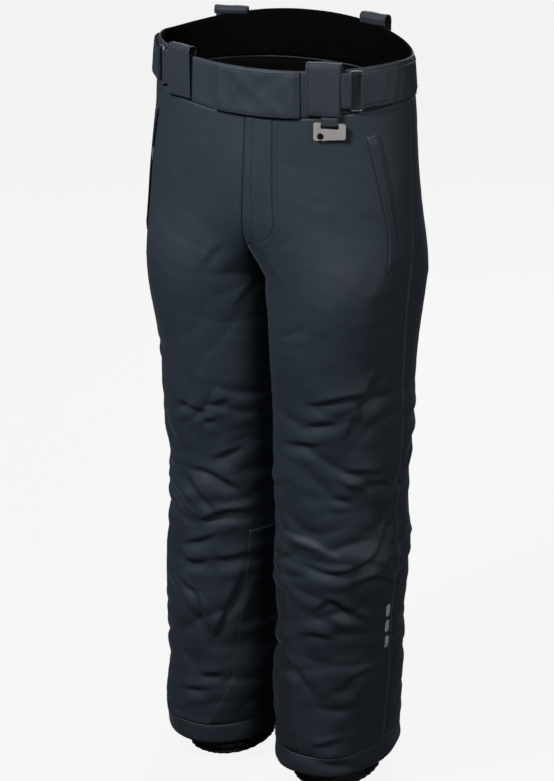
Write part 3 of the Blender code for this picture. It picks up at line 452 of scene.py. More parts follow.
def ribbon(name, stations, thick, material, nodes, body="pants", columns=16, step=0.003,
           wave=None, margin=0.003, bulge_by=0.0):
    """A flat strap through stations of (one edge, other edge, outward). Gives two functions:
    a line along the strap and one across it, for stitches."""
    low, high, out = (np.array([s[k] for s in stations], float) for k in range(3))
    count = max(int(metres_along((low + high) / 2)[-1] / step), len(stations) * 3)
    low, high, out = spline(low, count), spline(high, count), unit(spline(out, count))
    s = (1 - np.cos(np.linspace(0, np.pi, columns))) / 4 + np.linspace(0, 1, columns) / 2
    middle = low[:, None] + (high - low)[:, None] * s[:, None]
    along = metres_along((low + high) / 2)[:, None]
    width = np.linalg.norm(high - low, axis=1).mean()
    lift = np.zeros((count, columns)) if wave is None else wave(along / along[-1], s[None, :])
    half = thick / 2 * (1 - 0.55 * np.abs(2 * s - 1)**10)
    rise = bulge_by * (1 - (2 * s - 1)**2)
    top = middle + out[:, None] * (lift + half + rise)[..., None]
    bottom = middle + out[:, None] * (lift - half)[..., None]
    turn = np.cross(top[0, -1] - top[0, 0], top[1, 0] - top[0, 0]) @ out[0] < 0
    seam = np.broadcast_to(np.abs(np.minimum(s, 1 - s) * width - margin), (count, columns))
    two_sided(name, top, bottom, grid_quads(count, columns), turn,
              np.stack(np.broadcast_arrays(s[None, :] * width, along), -1), seam, material,
              body, nodes)

    def line(share, start=0.0, end=1.0):
        rows = slice(int(start * (count - 1)), int(end * (count - 1)) + 1)
        weight = np.array([np.interp(share, s, np.eye(columns)[k]) for k in range(columns)])
        return np.einsum("k,rkc->rc", weight, top[rows]), out[rows]

    def cross(share):
        r = int(share * (count - 1))
        inside = (s * width > margin) & ((1 - s) * width > margin)
        return top[r, inside], np.broadcast_to(out[r], (inside.sum(), 3))
    return line, cross


STITCH = np.array([(-1, 0, 0)] + [(x, math.cos(t), math.sin(t)) for x in (-.72, .72)
                                  for t in np.linspace(0, 2 * np.pi, 6)[:-1]] + [(1, 0, 0)])
STITCH_FACES = np.array([(0, 1 + (k + 1) % 5, 1 + k) for k in range(5)]
                        + [(1 + k, 1 + (k + 1) % 5, 6 + (k + 1) % 5) for k in range(5)]
                        + [(1 + k, 6 + (k + 1) % 5, 6 + k) for k in range(5)]
                        + [(11, 6 + k, 6 + (k + 1) % 5) for k in range(5)])
STITCH_PITCH, STITCH_LENGTH, STITCH_SINK = 0.0034, 0.0026, 0.00004


def stitches(name, lines, material, body="pants", radius=0.00032):
    """Rows of topstitching along lines of (points, normals)."""
    points = []
    for spots, normals in lines:
        along = metres_along(spots)
        at = np.arange(STITCH_PITCH / 2, along[-1] - STITCH_PITCH / 2, STITCH_PITCH)
        if not len(at):
            continue
        run = unit(sample(at + STITCH_LENGTH / 2, along, spots)
                   - sample(at - STITCH_LENGTH / 2, along, spots))
        up = unit(sample(at, along, normals))
        lift = radius * 0.45 - STITCH_SINK
        for c, r, n, s in zip(sample(at, along, spots), run, up, np.cross(up, run)):
            points.append(c + n * lift + STITCH[:, :1] * r * STITCH_LENGTH / 2
                          + STITCH[:, 1:2] * s * radius + STITCH[:, 2:] * n * radius * 0.8)
    faces = [STITCH_FACES + k * len(STITCH) for k in range(len(points))]
    finish_piece(new_object(name, np.concatenate(points), np.concatenate(faces), material), body)


# ---- materials -----------------------------------------------------------------------------
class Nodes:
    """A small helper to wire the nodes of a material or of the world."""

    def __init__(self, owner):
        owner.use_nodes = True
        self.owner, self.tree = owner, owner.node_tree

    def fill(self, node, sockets):
        """Link or set a node's inputs, given by name or number."""
        for key, value in sockets.items():
            if isinstance(value, bpy.types.NodeSocket):
                self.tree.links.new(value, node.inputs[key])
            else:
                node.inputs[key].default_value = value

    def new(self, kind, sockets=None, output=0, **settings):
        node = self.tree.nodes.new("ShaderNode" + kind)
        for key, value in settings.items():
            setattr(node, key, value)
        self.fill(node, sockets or {})
        return node.outputs[output]

    def math(self, operation, *values, clamp=False):
        return self.new("Math", dict(enumerate(values)), operation=operation, use_clamp=clamp)

    def mix(self, factor, a, b):
        return self.new("Mix", {0: factor, 6: a, 7: b}, 2, data_type="RGBA")

    def ramp(self, value, low, high):
        return self.new("MapRange", {0: value, 1: low[0], 2: low[1], 3: high[0], 4: high[1]})

    def bump(self, height, distance, strength=1.0, normal=None):
        sockets = {"Strength": strength, "Distance": distance, "Height": height}
        return self.new("Bump", sockets if normal is None else {**sockets, "Normal": normal})

    def noise(self, vector, scale, detail=2.0, rough=0.5):
        return self.new("TexNoise", {"Vector": vector, "Scale": scale, "Detail": detail,
                                     "Roughness": rough})

    def wave(self, vector, direction, pitch):
        """Bands a pitch apart, in metres."""
        return self.new("TexWave", {"Vector": vector, "Scale": 2 * math.pi / (20 * pitch)}, "Fac",
                        bands_direction=direction)

    def mapping(self, vector, scale=(1, 1, 1), rotation=(0, 0, 0)):
        return self.new("Mapping", {"Vector": vector, "Scale": scale, "Rotation": rotation})

    def coordinates(self):
        return self.new("TexCoord", output="Object")


def fabric(name, colour, rough, sheen, pitch, weave="twill", depth=0.00012, crinkle=0.0002,
           variation=0.16, specular=0.35, seam=True, groove_depth=1.0, sheen_tint=(0.75, 0.85, 1.0)):
    m = Nodes(bpy.data.materials.new(name))
    cloth = m.new("UVMap", uv_map="cloth")
    place = m.coordinates()
    if weave == "twill":
        diagonal = m.mapping(cloth, rotation=(0, 0, math.radians(52)))
        height = m.math("ADD", m.math("MULTIPLY", m.wave(diagonal, "X", pitch), 0.7),
                        m.math("MULTIPLY", m.wave(cloth, "X", pitch * 0.55), 0.3))
    elif weave == "rib":
        height = m.wave(cloth, "Y", pitch)
    elif weave == "webbing":
        height = m.math("MULTIPLY", m.math("ADD", m.wave(cloth, "Y", pitch), 0.4),
                        m.math("ADD", m.wave(cloth, "X", pitch * 1.7), 0.4))
    else:
        height = m.math("MULTIPLY", m.wave(cloth, "X", pitch), m.wave(cloth, "Y", pitch))
    broad = m.noise(place, 7.0, 3.0, 0.55)
    grain = m.noise(place, 900.0, 2.0, 0.6)
    patch = m.noise(m.mapping(place, scale=(1, 1, 2.4)), 34.0, 4.0, 0.6)
    # random tone from broad and fine noise, plus painted shade from the weave: its raised threads
    # lighter, its hollows darker
    mottle_and_weave_shade = m.math("ADD", m.ramp(broad, (.3, .7), (-variation, variation)),
                   m.math("ADD", m.ramp(grain, (.25, .75), (-variation * .6, variation * .6)),
                          m.ramp(height, (0, 1), (-variation * .5, variation * .5))))
    dark = tuple(c * (1 - 2.0 * variation) for c in colour) + (1,)
    light = tuple(c * (1 + 2.0 * variation) for c in colour) + (1,)
    tone = m.mix(m.math("ADD", m.math("MULTIPLY", mottle_and_weave_shade, 0.5 / (2.1 * variation)), 0.5, clamp=True),
                 dark, light)
    normal = m.bump(m.noise(place, 120.0, 5.0, 0.6), crinkle, 0.6)
    normal = m.bump(patch, crinkle * 2.0, 0.45, normal)
    normal = m.bump(height, depth, 0.8, normal)
    if seam:
        distance = m.new("Attribute", output="Fac", attribute_name="seam")
        # a pressed line along the stitches, with faint puckers beside it; the cloth beside the
        # stitches is lighter as wear, and the pressed line itself is darkened as painted shade
        groove = m.math("POWER", math.e, m.math("MULTIPLY", m.math("POWER", m.math(
            "DIVIDE", distance, 0.0011), 2.0), -1.0))
        near = m.math("POWER", math.e, m.math("DIVIDE", distance, -0.0045))
        pucker = m.math("MULTIPLY", near, m.noise(place, 260.0, 2.0))
        normal = m.bump(m.math("SUBTRACT", m.math("MULTIPLY", pucker, 0.8), groove), 0.0007,
                        0.9 * groove_depth, normal)
        worn = tuple(c * 1.25 for c in colour) + (1,)
        tone = m.mix(m.math("MULTIPLY", near, 0.40 * groove_depth, clamp=True), tone, worn)
        # painted shade: the pressed line's colour darkened to about a third
        tone = m.mix(m.math("MULTIPLY", groove, 0.55 * groove_depth, clamp=True), tone,
                     tuple(c * 0.35 for c in colour) + (1,))
    m.fill(m.tree.nodes["Principled BSDF"], {
        "Base Color": tone, "Roughness": m.ramp(patch, (.3, .7), (rough - .06, rough + .06)),
        "Normal": normal, "Specular IOR Level": specular, "Sheen Weight": sheen,
        "Sheen Roughness": 0.35, "Sheen Tint": (*sheen_tint, 1)})
    return m.owner


def metal(name, colour, rough, scratch=0.00003, brushed=(1, 1, 1), dark=0.6, metallic=1.0):
    m = Nodes(bpy.data.materials.new(name))
    place = m.coordinates()
    streak = m.noise(m.mapping(place, scale=brushed), 420.0, 4.0, 0.6)
    cloud = m.noise(place, 45.0, 3.0, 0.55)
    tone = m.mix(m.math("MULTIPLY", m.ramp(cloud, (.3, .75), (0, 1)), 0.8, clamp=True),
                 (*colour, 1), (*(c * dark for c in colour), 1))
    tone = m.mix(m.math("MULTIPLY", streak, 0.25), tone, (*(min(c * 1.3, 1) for c in colour), 1))
    m.fill(m.tree.nodes["Principled BSDF"], {
        "Base Color": tone, "Metallic": metallic,
        "Roughness": m.ramp(streak, (.3, .7), (rough - .07, rough + .09)),
        "Normal": m.bump(streak, scratch, 0.7)})
    return m.owner


SHELL = fabric("shell_twill", (.0205, .0300, .0420), .55, .10, .0009, groove_depth=.35)
TRIM = fabric("trim_twill", (.0210, .0300, .0420), .57, .10, .0009, groove_depth=.6)
GUARD = fabric("guard_weave", (.0190, .0250, .0340), .50, .08, .0014, "plain", .00018,
               groove_depth=.35)
# painted shade: the lining, waist facing and pocket bags are set near black so the inside of the waist
# reads as deep shade
LINING_PAINTED_SHADE = fabric("lining_taffeta_painted_shade", (.0006, .0007, .0009), .85, .0, .0006, "plain", .00005,
                .0003, specular=.05)
FLEECE = fabric("wadding", (.62, .63, .64), .95, .3, .0030, "plain", .0004, .0012, seam=False,
                sheen_tint=(1, 1, 1))
GAITER = fabric("gaiter_ripstop", (.0125, .0160, .0205), .46, .06, .0042, "plain", .0001, .0004)
ELASTIC = fabric("elastic_rib", (.010, .011, .013), .72, .10, .0013, "rib", .0003)
WEBBING = fabric("loop_weave", (.0220, .0297, .0402), .60, .12, .0011, "webbing", .00016,
                 groove_depth=.6)
PIPING = fabric("piping", (.040, .050, .064), .52, .15, .0011, "rib", .0001)
TAPE = fabric("zip_tape", (.012, .014, .017), .70, .10, .0008, "rib", .0001)
THREAD = fabric("thread", (.030, .039, .051), .50, .15, .0006, "rib", .00006, seam=False)
DARK_THREAD = fabric("thread_dark", (.016, .020, .025), .55, .15, .0006, "rib", .00006, seam=False)
COIL = metal("zip_coil", (.05, .055, .06), .38, metallic=.2)
ZIP_METAL = metal("zip_metal", (.10, .105, .115), .38, brushed=(1, 1, .2))
RING_METAL = metal("ring_gunmetal", (.46, .49, .53), .34, brushed=(1, 1, .15))
PLATE_METAL = metal("plate_brushed", (.60, .57, .56), .42, .00004, brushed=(.06, 1, 4.0), dark=.8,
                    metallic=.55)
PRINT = fabric("mark_film", (.52, .51, .52), .38, .0, .0012, "plain", .00004, .00005, .10,
               specular=.6, seam=False)


# ---- shell ------------------------------------------------------------------------------------
ROW_STEP, LINING_STEP = 0.0034, 0.0070
SEAM_TOP = 0.880                        # the rows above this fan out to follow the waist seam
FAN_HEIGHT = 0.105                      # about how far that is


def row_grid(low, top_gap, u_of, step=ROW_STEP):
    """A grid of places from low to the waist seam; u_of gives the row of u at a height."""
    u, z = [], []
    for height in np.arange(low, SEAM_TOP, step):
        u.append(u_of(height))
        z.append(np.full(u[-1].shape, height))
    for share in np.arange(round(FAN_HEIGHT / step) + 1) / round(FAN_HEIGHT / step):
        u.append(u_of(SEAM_TOP + 0.085 * share))
        z.append(SEAM_TOP + (curve_round(WAIST_SEAM, u[-1]) - top_gap - SEAM_TOP) * share)
    return np.array(u), np.array(z)


def fly_edge_u(z):
    drop = max(FLY_ROUND_Z - z, 0.0) / (FLY_ROUND_Z - FLY_BOTTOM_Z)
    return FLY_WIDTH_U * math.sqrt(max(1.0 - drop**2, 0.0)) if z >= FLY_BOTTOM_Z else 0.0


def pocket_u(z):
    """The pocket's line, carried on down the leg to a steady u."""
    line = pocket_line((POCKET_TOP[1] - max(z, POCKET_END[1])) / (POCKET_TOP[1] - POCKET_END[1]))[0]
    return line + (-0.25 - line) * float(1 - smooth(z, 0.56, POCKET_END[1]))


SLOT_HALF_U, SLOT_PAST = 0.016, 0.003   # the pocket's opening in the shell
CLOSED_U = 0.00006                      # a sewn seam's share of the gap in u
FRONT_COLUMNS, SIDE_COLUMNS, BACK_COLUMNS = 70, 21, 88


def front_row(side):
    def row(z):
        start = -1.0 + (CLOSED_U if z < FLY_BOTTOM_Z else SEAM_U)
        if side > 0:
            start += fly_edge_u(z)
        spot = pocket_u(z)
        return np.concatenate([
            np.linspace(start, spot - SLOT_HALF_U, FRONT_COLUMNS),
            np.linspace(spot + SLOT_HALF_U, -CLOSED_U, SIDE_COLUMNS)])
    return row


def edge_distance(u, *edges):
    return np.min([np.abs(u - e) for e in edges], axis=0) * METRES_PER_U


def guard_front(side, z):
    """The scuff guard's front edge, which slants up towards the inseam."""
    if side > 0:
        return -0.500 - 0.190 * np.clip((z - GUARD_LOW) / (GUARD_TOP - GUARD_LOW), 0, 1)
    return (-0.600 - 0.130 * np.clip((z - GUARD_LOW) / 0.07, 0, 1)
            - 0.08 * np.clip((z - 0.136) / 0.224, 0, 1))


SHELL_LOW, WADDING_RISE, INNER_GAP = HEM_Z + HEM_BAND + GAP, 0.004, 0.002
shell_lines, guard_lines = [], []
for side, word in SIDES:
    u, z = row_grid(SHELL_LOW, GAP, front_row(side))
    centre_z = (z[1:, :-1] + z[:-1, :-1]) / 2
    in_slot = (centre_z > POCKET_END[1] - SLOT_PAST) & (centre_z < POCKET_TOP[1] + SLOT_PAST)
    in_slot &= np.arange(u.shape[1] - 1) == FRONT_COLUMNS - 1
    cloth_panel(f"cloth_front_{word}", side, u, z, SHELL_LAYER, SHELL,
                f"shell_front_{word}", keep=~in_slot, seam=edge_distance(u, 0.0),
                round_by=.12)
    u, z = row_grid(SHELL_LOW, GAP, lambda h: np.linspace(CLOSED_U, 1 - CLOSED_U, BACK_COLUMNS))
    cloth_panel(f"cloth_back_{word}", side, u, z, SHELL_LAYER, SHELL,
                f"shell_back_{word}", seam=edge_distance(u, 0.0, 1.0), round_by=.12)

    # turned hem band
    z, u = grid(np.linspace(HEM_Z, HEM_Z + HEM_BAND, 10), np.arange(156) / 156 * 2 - 1)
    roll = -0.0005 * bump(z, HEM_Z, 0.003)
    sewn = HEM_Z + HEM_BAND - HEM_MARGIN
    cloth_panel(f"cloth_hem_{word}", side, u, z, HEM_LAYER, TRIM, f"hem_band_{word}",
                closed=True, extra=roll, inner_extra=-roll, seam=np.abs(z - sewn),
                round_by=.15)
    shell_lines.append(cloth_line(side, np.linspace(-1, 1, 400), sewn, HEM_LAYER[0]))

    # insulation and lining, open along the fly
    opening = 0.19 if side > 0 else 0.09

    def inner_row(h):
        start = -1.0 + SEAM_U + opening * float(smooth(h, 0.742, 0.772))
        return np.concatenate([np.linspace(start, 0, 40)[:-1], np.linspace(0, 1 - SEAM_U, 42)])
    u, z = row_grid(SHELL_LOW + WADDING_RISE, INNER_GAP, inner_row, LINING_STEP)
    # the loft is sewn down in level channels, and stays clear of the waist
    z -= 0.012 * (1 - smooth(np.clip(curve_round(WAIST_SEAM, u) - z, 0, 1), 0.0, 0.05))
    obj = cloth_panel(f"cloth_wadding_{word}", side, u, z, WADDING_LAYER, FLEECE,
                      f"insulation_{word}",
                      extra=-0.0008 * np.abs(np.cos(z * np.pi / 0.06))**8, inner_extra=0.0,
                      seam=edge_distance(u, 0.0))
    u, z = row_grid(SHELL_LOW, INNER_GAP, inner_row, LINING_STEP)
    # the lining comes out to meet the waistband's facing
    meet = 0.0056 * (1 - smooth(np.clip(curve_round(WAIST_SEAM, u) - z, 0, 1), 0.001, 0.009))
    cloth_panel(f"cloth_liner_{word}", side, u, z, LINING_LAYER, LINING_PAINTED_SHADE,
                f"lining_{word}", extra=meet, inner_extra=meet,
                seam=edge_distance(u, 0.0))

    # scuff guard inside the ankle
    z, across = grid(np.linspace(GUARD_LOW, GUARD_TOP, 84), np.linspace(0, 1, 72))
    front = guard_front(side, z)
    u = GUARD_REAR + (front - GUARD_REAR) * across
    edge = np.minimum(np.minimum(z - GUARD_LOW, GUARD_TOP - z),
                      np.minimum(front - u, u - GUARD_REAR) * METRES_PER_U)
    cloth_panel(f"cloth_guard_{word}", side, u, z, GUARD_LAYER, GUARD,
                f"inner_leg_guard_{word}", seam=np.abs(edge - GUARD_MARGIN),
                extra=-0.0006 * np.exp(-(edge / 0.002)**2), round_by=.2)
    margin_u = GUARD_MARGIN / METRES_PER_U
    top_row = np.linspace(GUARD_REAR + margin_u, float(guard_front(side, GUARD_TOP)) - margin_u,
                          90)
    guard_lines += [
        cloth_line(side, GUARD_REAR + margin_u,
                   np.linspace(GUARD_LOW + GUARD_MARGIN, GUARD_TOP - GUARD_MARGIN, 130),
                   GUARD_LAYER[0]),
        cloth_line(side, top_row, GUARD_TOP - GUARD_MARGIN, GUARD_LAYER[0])]

# ---- fly flap ---------------------------------------------------------------------------------
FLAP_COLUMNS, FLAP_STITCH, FLY_STITCH_TOP = 26, 0.0085, 0.956
u, z = [], []
for height in np.concatenate([np.linspace(FLY_BOTTOM_Z + 0.0006, FLY_ROUND_Z, 22)[:-1],
                              np.arange(FLY_ROUND_Z, SEAM_TOP, 0.0035)]):
    u.append(np.linspace(-1 + SEAM_U, -1 + max(fly_edge_u(height), 0.004) - SEAM_U, FLAP_COLUMNS))
    z.append(np.full(FLAP_COLUMNS, height))
for share in np.arange(29) / 28:
    u.append(np.linspace(-1 + SEAM_U, -1 + FLY_WIDTH_U - SEAM_U, FLAP_COLUMNS))
    z.append(SEAM_TOP + (curve_round(WAIST_SEAM, u[-1]) - 0.0008 - SEAM_TOP) * share)
u, z = np.array(u), np.array(z)
edge = (u + 1) * METRES_PER_U
cloth_panel("cloth_fly_flap", 1, u, z, SHELL_LAYER, SHELL, "fly_flap",
            body="fly_flap", seam=np.abs(edge - FLAP_STITCH), inner_extra=0.0,
            extra=0.0004 * bump(edge, 0.003, 0.004) - 0.0003 * bump(edge, 0.0095, 0.002))


def fly_curve(inset):
    """The J-shaped row of stitches beside the fly's curved seam."""
    t = np.linspace(0, np.pi / 2, 40)
    u = -1 + (FLY_WIDTH_U + inset) * np.cos(t)
    z = FLY_ROUND_Z - (FLY_ROUND_Z - FLY_BOTTOM_Z + inset * METRES_PER_U) * np.sin(t)
    straight = np.linspace(FLY_STITCH_TOP, FLY_ROUND_Z, 60)
    return np.concatenate([np.full(60, u[0]), u[1:-3]]), np.concatenate([straight, z[1:-3]])


shell_lines += [cloth_line(1, *fly_curve(inset)) for inset in (0.008, 0.026)]
stitches("stitches_fly_flap",
         [cloth_line(1, -1 + FLAP_STITCH / METRES_PER_U, np.linspace(0.796, FLY_STITCH_TOP, 90))],
         THREAD, "fly_flap")

# ---- waistband --------------------------------------------------------------------------------
JOIN = 0.30                             # u of the joins between front and back lengths
BAND_MARGIN, STITCH_LIFT = 0.0035, 0.0001


def eased(count):
    """Shares from 0 to 1, closer together at both ends."""
    return (1 - np.cos(np.linspace(0, np.pi, count))) * 0.2 + np.linspace(0, 1, count) * 0.6


def band_waves(side, u, z):
    points = skin(side, u, z)
    return (ripples(points, 23, (.05, .05, .10)) * 0.35
            + ripples(points, 29, (.018, .018, .06)) * 0.18) * MM


band_lines = []
for name, node, side, start, end, columns in (
        ("cloth_band_left", "waistband_front_left", 1, -1 + SEAM_U, JOIN, 124),
        ("cloth_band_right", "waistband_front_right", -1, -1 + SEAM_U, JOIN, 124),
        ("cloth_band_back", "waistband_back", 1, JOIN + 0.002, 2 - JOIN - 0.002, 134)):
    share, u = grid(eased(20), np.linspace(start, end, columns))
    z = waist_height(u, share)
    height = curve_round(WAIST_RIM, u) - curve_round(WAIST_SEAM, u)
    low_d, high_d = share * height, (1 - share) * height
    swell = band_waves(side, u, z) + (0.0004 * np.sin(np.pi * share)
                                      - 0.0006 * np.exp(-(high_d / 0.0016)**2)
                                      - 0.0004 * np.exp(-(low_d / 0.0014)**2))
    cloth_panel(name, side, u, z, BAND_LAYER, TRIM, node, share=0, extra=swell,
                inner_extra=0.0,
                seam=np.minimum(np.abs(low_d - BAND_MARGIN), np.abs(high_d - BAND_MARGIN)))
    row = np.linspace(start, end, 500)
    for z in (curve_round(WAIST_SEAM, row) + BAND_MARGIN, curve_round(WAIST_RIM, row) - BAND_MARGIN):
        normals = skin_normal(side, row, z)
        lift = BAND_LAYER[0] + STITCH_LIFT + band_waves(side, row, z)
        band_lines.append((skin(side, row, z) + normals * lift[:, None], normals))
share, u = grid(eased(16), np.linspace(-1 + SEAM_U, 3 - SEAM_U, 300))
z, lip = waist_height(u, share), smooth(share, 0.90, 1.0)
# the facing takes the near-black lining colour, painted shade inside the waist
cloth_panel("cloth_facing", 1, u, z + 0.0006 * lip, FACING_LAYER, LINING_PAINTED_SHADE, "waist_facing",
            share=0, extra=0.0009 * lip + band_waves(1, u, z) * 0.6)

# ---- waist tab --------------------------------------------------------------------------------
TAB_START, TAB_END, TAB_HEIGHT = -0.745, -1.135, 0.060


def tab_height(u, share):
    return waist_height(u, 0.5) + (share - 0.5) * TAB_HEIGHT


across, u = grid(eased(26), np.linspace(TAB_START, TAB_END, 60))
z = tab_height(u, across)
root_d, end_d = (TAB_START - u) * METRES_PER_U, (u - TAB_END) * METRES_PER_U
edge = np.minimum(np.minimum(across, 1 - across) * TAB_HEIGHT, end_d)
points = skin(1, u, z)
# a crease runs slantwise from the loose end, and the cloth pulls in at the root
slant = end_d * 0.8 - (0.5 - across) * TAB_HEIGHT
swell = ((0.5 * ripples(points, 41, (.05, .05, .05)) + 0.25 * ripples(points, 43, (.02, .02, .03))
          - 0.45 * bump(slant, 0.030, 0.009) + 0.4 * bump(slant, 0.046, 0.010))
         * MM * smooth(edge, 0, .01)
         - 0.0030 * (1 - smooth(root_d, 0.0, 0.010)) - 0.0008 * np.exp(-(edge / 0.0016)**2))
obj = cloth_panel("cloth_tab", 1, u, z, TAB_LAYER, TRIM, "waist_tab",
                  body="waist_tab", share=0, extra=swell, inner_extra=0.25 * swell,
                  seam=np.abs(edge - BAND_MARGIN))
obj.data.flip_normals()


def tab_line(u, share):
    u, share = np.broadcast_arrays(u, share)
    z = tab_height(u, share)
    normals = skin_normal(1, u, z)
    return skin(1, u, z) + normals * (TAB_LAYER[0] + STITCH_LIFT), normals


last_u, margin = TAB_END + BAND_MARGIN / METRES_PER_U, BAND_MARGIN / TAB_HEIGHT
along_tab = np.linspace(TAB_START - .03, last_u, 80)
stitches("stitches_tab", [tab_line(along_tab, margin), tab_line(along_tab, 1 - margin),
                          tab_line(last_u, np.linspace(margin, 1 - margin, 40))],
         THREAD, "waist_tab")

# ---- pockets ----------------------------------------------------------------------------------
POCKET_ZIP_DEPTH, POCKET_LENGTH, TOOTH_PITCH = 0.0042, 0.171, 0.0019
WELT_FRONT_U, WELT_WIDTH_U, WELT_RISE = -0.035, 0.085, 0.004


def pocket_frame(side, share):
    """Point, across and outward at a share of the pocket zip's arc."""
    first, middle, last = (
        skin(1, *pocket_line(t)) - skin_normal(1, *pocket_line(t)) * POCKET_ZIP_DEPTH
        for t in (0.0, 0.5, 1.0))
    chord, half = last - first, (first + last) / 2
    rise = skin_normal(1, *pocket_line(0.5))
    rise = unit(rise - chord * (rise @ chord / (chord @ chord)))
    height = (middle - half) @ rise
    radius = (chord @ chord / 4 + height**2) / (2 * height)
    centre, axis = half + rise * (height - radius), unit(np.cross(chord, rise))
    mirror = np.array((side, 1, 1))
    centre, axis, first = centre * mirror, axis * mirror * side, first * mirror
    turn = 2 * math.asin(np.linalg.norm(chord) / 2 / radius) * share
    start_out = unit(first - centre)
    out = start_out * math.cos(turn) + np.cross(start_out, axis) * math.sin(turn)
    return centre + out * radius, axis, out


def zip_half(name, frames, direction, half_tape, node):
    """One side of a zip: a woven tape with its row of coil teeth."""
    spots, crosses, outs = (spline([f[k] for f in frames], 60) for k in range(3))
    crosses, outs = unit(crosses) * direction, unit(outs)
    ribbon(name, [(p + c * 0.0016, p + c * half_tape, o) for p, c, o in zip(spots, crosses, outs)],
           0.0008, TAPE, node, columns=8, margin=0.0012)
    along = metres_along(spots)
    points, faces = [], []
    for where in np.arange(0.001, along[-1] - 0.001, TOOTH_PITCH):
        p, c, o = (sample(where, along, values) for values in (spots, crosses, outs))
        run, base = np.cross(c, o), len(points)
        for a, height, long in ((0.7, 0.55, 0.62), (1.1, 0.75, 0.62), (2.9, 0.75, 0.5)):
            points += [p + (c * a + o * math.sin(t) * height + run * math.cos(t) * long) * MM
                       for t in np.linspace(0, 2 * np.pi, 9)[:-1]]
        for r in (base, base + 8):
            faces += [[r + k, r + (k + 1) % 8, r + 8 + (k + 1) % 8, r + 8 + k] for k in range(8)]
        faces += [[base, base + k, base + k + 1, base + k + 2] for k in (1, 3, 5)]
    finish_piece(new_object(name + "_teeth", points, faces, COIL), "pants", ())


def welt_place(share, across):
    u, z = pocket_line(share)
    return u + WELT_FRONT_U + WELT_WIDTH_U * across, z + WELT_RISE * across


welt_lines = []
for side, word in SIDES:
    frames = [pocket_frame(side, k / 10) for k in range(11)]
    for edge, direction in (("front", side), ("rear", -side)):
        zip_half(f"zip_pocket_{edge}_{word}", frames, direction, 0.0055,
                 f"pocket_zip_{edge}_{word}")
    # the welt: its front edge is free, its rear edge is sewn down
    share, across = grid(np.linspace(-0.05, 1.05, 60), np.linspace(0, 1, 22))
    u, z = welt_place(share, across)
    width = WELT_WIDTH_U * METRES_PER_U
    front_d, rear_d = across * width, (1 - across) * width
    end_d = np.minimum(share + 0.05, 1.05 - share) * POCKET_LENGTH
    settle = (-0.0018 * (1 - smooth(rear_d, 0.0, 0.012)) - 0.0012 * (1 - smooth(end_d, 0, .010))
              + 0.0008 * bump(front_d, 0.003, 0.004)
              + 0.0002 * np.sin(share * 60) * np.exp(-end_d / .02))
    cloth_panel(f"cloth_welt_{word}", side, u, z, WELT_LAYER, TRIM, f"pocket_welt_{word}",
                extra=settle, inner_extra=settle * .5,
                seam=np.minimum(np.abs(rear_d - .002), np.abs(end_d - .004)))
    u, z = welt_place(np.linspace(-0.03, 1.03, 200), 1.0)
    welt_lines.append(cloth_line(side, u - 0.002 / METRES_PER_U, z, 0.0008))
    welt_lines += [cloth_line(side, *welt_place(t, np.linspace(0.08, 0.92, 40)), 0.0016)
                   for t in (-0.027, 1.027)]
    # the bag behind it
    share, across = grid(np.linspace(0, 1, 36), np.linspace(0, 1, 40))
    rear_u, front_u = -0.290 - 0.150 * share, -0.740 + 0.060 * share
    cloth_panel(f"cloth_bag_{word}", side, front_u + (rear_u - front_u) * across,
                0.762 + 0.160 * share, BAG_LAYER, LINING_PAINTED_SHADE, f"pocket_bag_{word}",
                extra=0.0003 * np.sin(across * 31 + share * 9), inner_extra=0.0,
                seam=np.minimum(np.minimum(across, 1 - across) * 0.13,
                                np.minimum(share, 1 - share) * 0.16))

# fly zip, straight between its two ends
ZIP_X = 0.008
ZIP_U = -1 + ZIP_X / METRES_PER_U
ZIP_ENDS = ((0.950, 0.0043), (0.824, 0.0058))  # height, and depth under the skin
ends = []
for height, depth in ZIP_ENDS:
    spot = skin(1, ZIP_U, height) - skin_normal(1, ZIP_U, height) * depth
    ends.append(np.array((ZIP_X, spot[1], height)))
out = np.cross(unit(ends[1] - ends[0]), (1, 0, 0))
out *= -1 if out[1] > 0 else 1
for word, direction in (("left", 1), ("right", -1)):
    zip_half(f"zip_fly_{word}", [(end, (1, 0, 0), out) for end in ends], direction, 0.0090,
             f"fly_zip_tape_{word}")

# ---- suspender loops --------------------------------------------------------------------------
def folded_path(place, back, outward, half, path):
    """Stations of a strap folded over in the plane of outward and up; each step of the path
    is an offset outward, a height, and the outward and upward parts of its facing."""
    stations = []
    for offset, height, face_out, face_up in path:
        middle = place + outward * offset + np.array((0, 0, height))
        stations.append((middle - back * half, middle + back * half,
                         unit(outward * face_out + np.array((0, 0, face_up)))))
    return stations


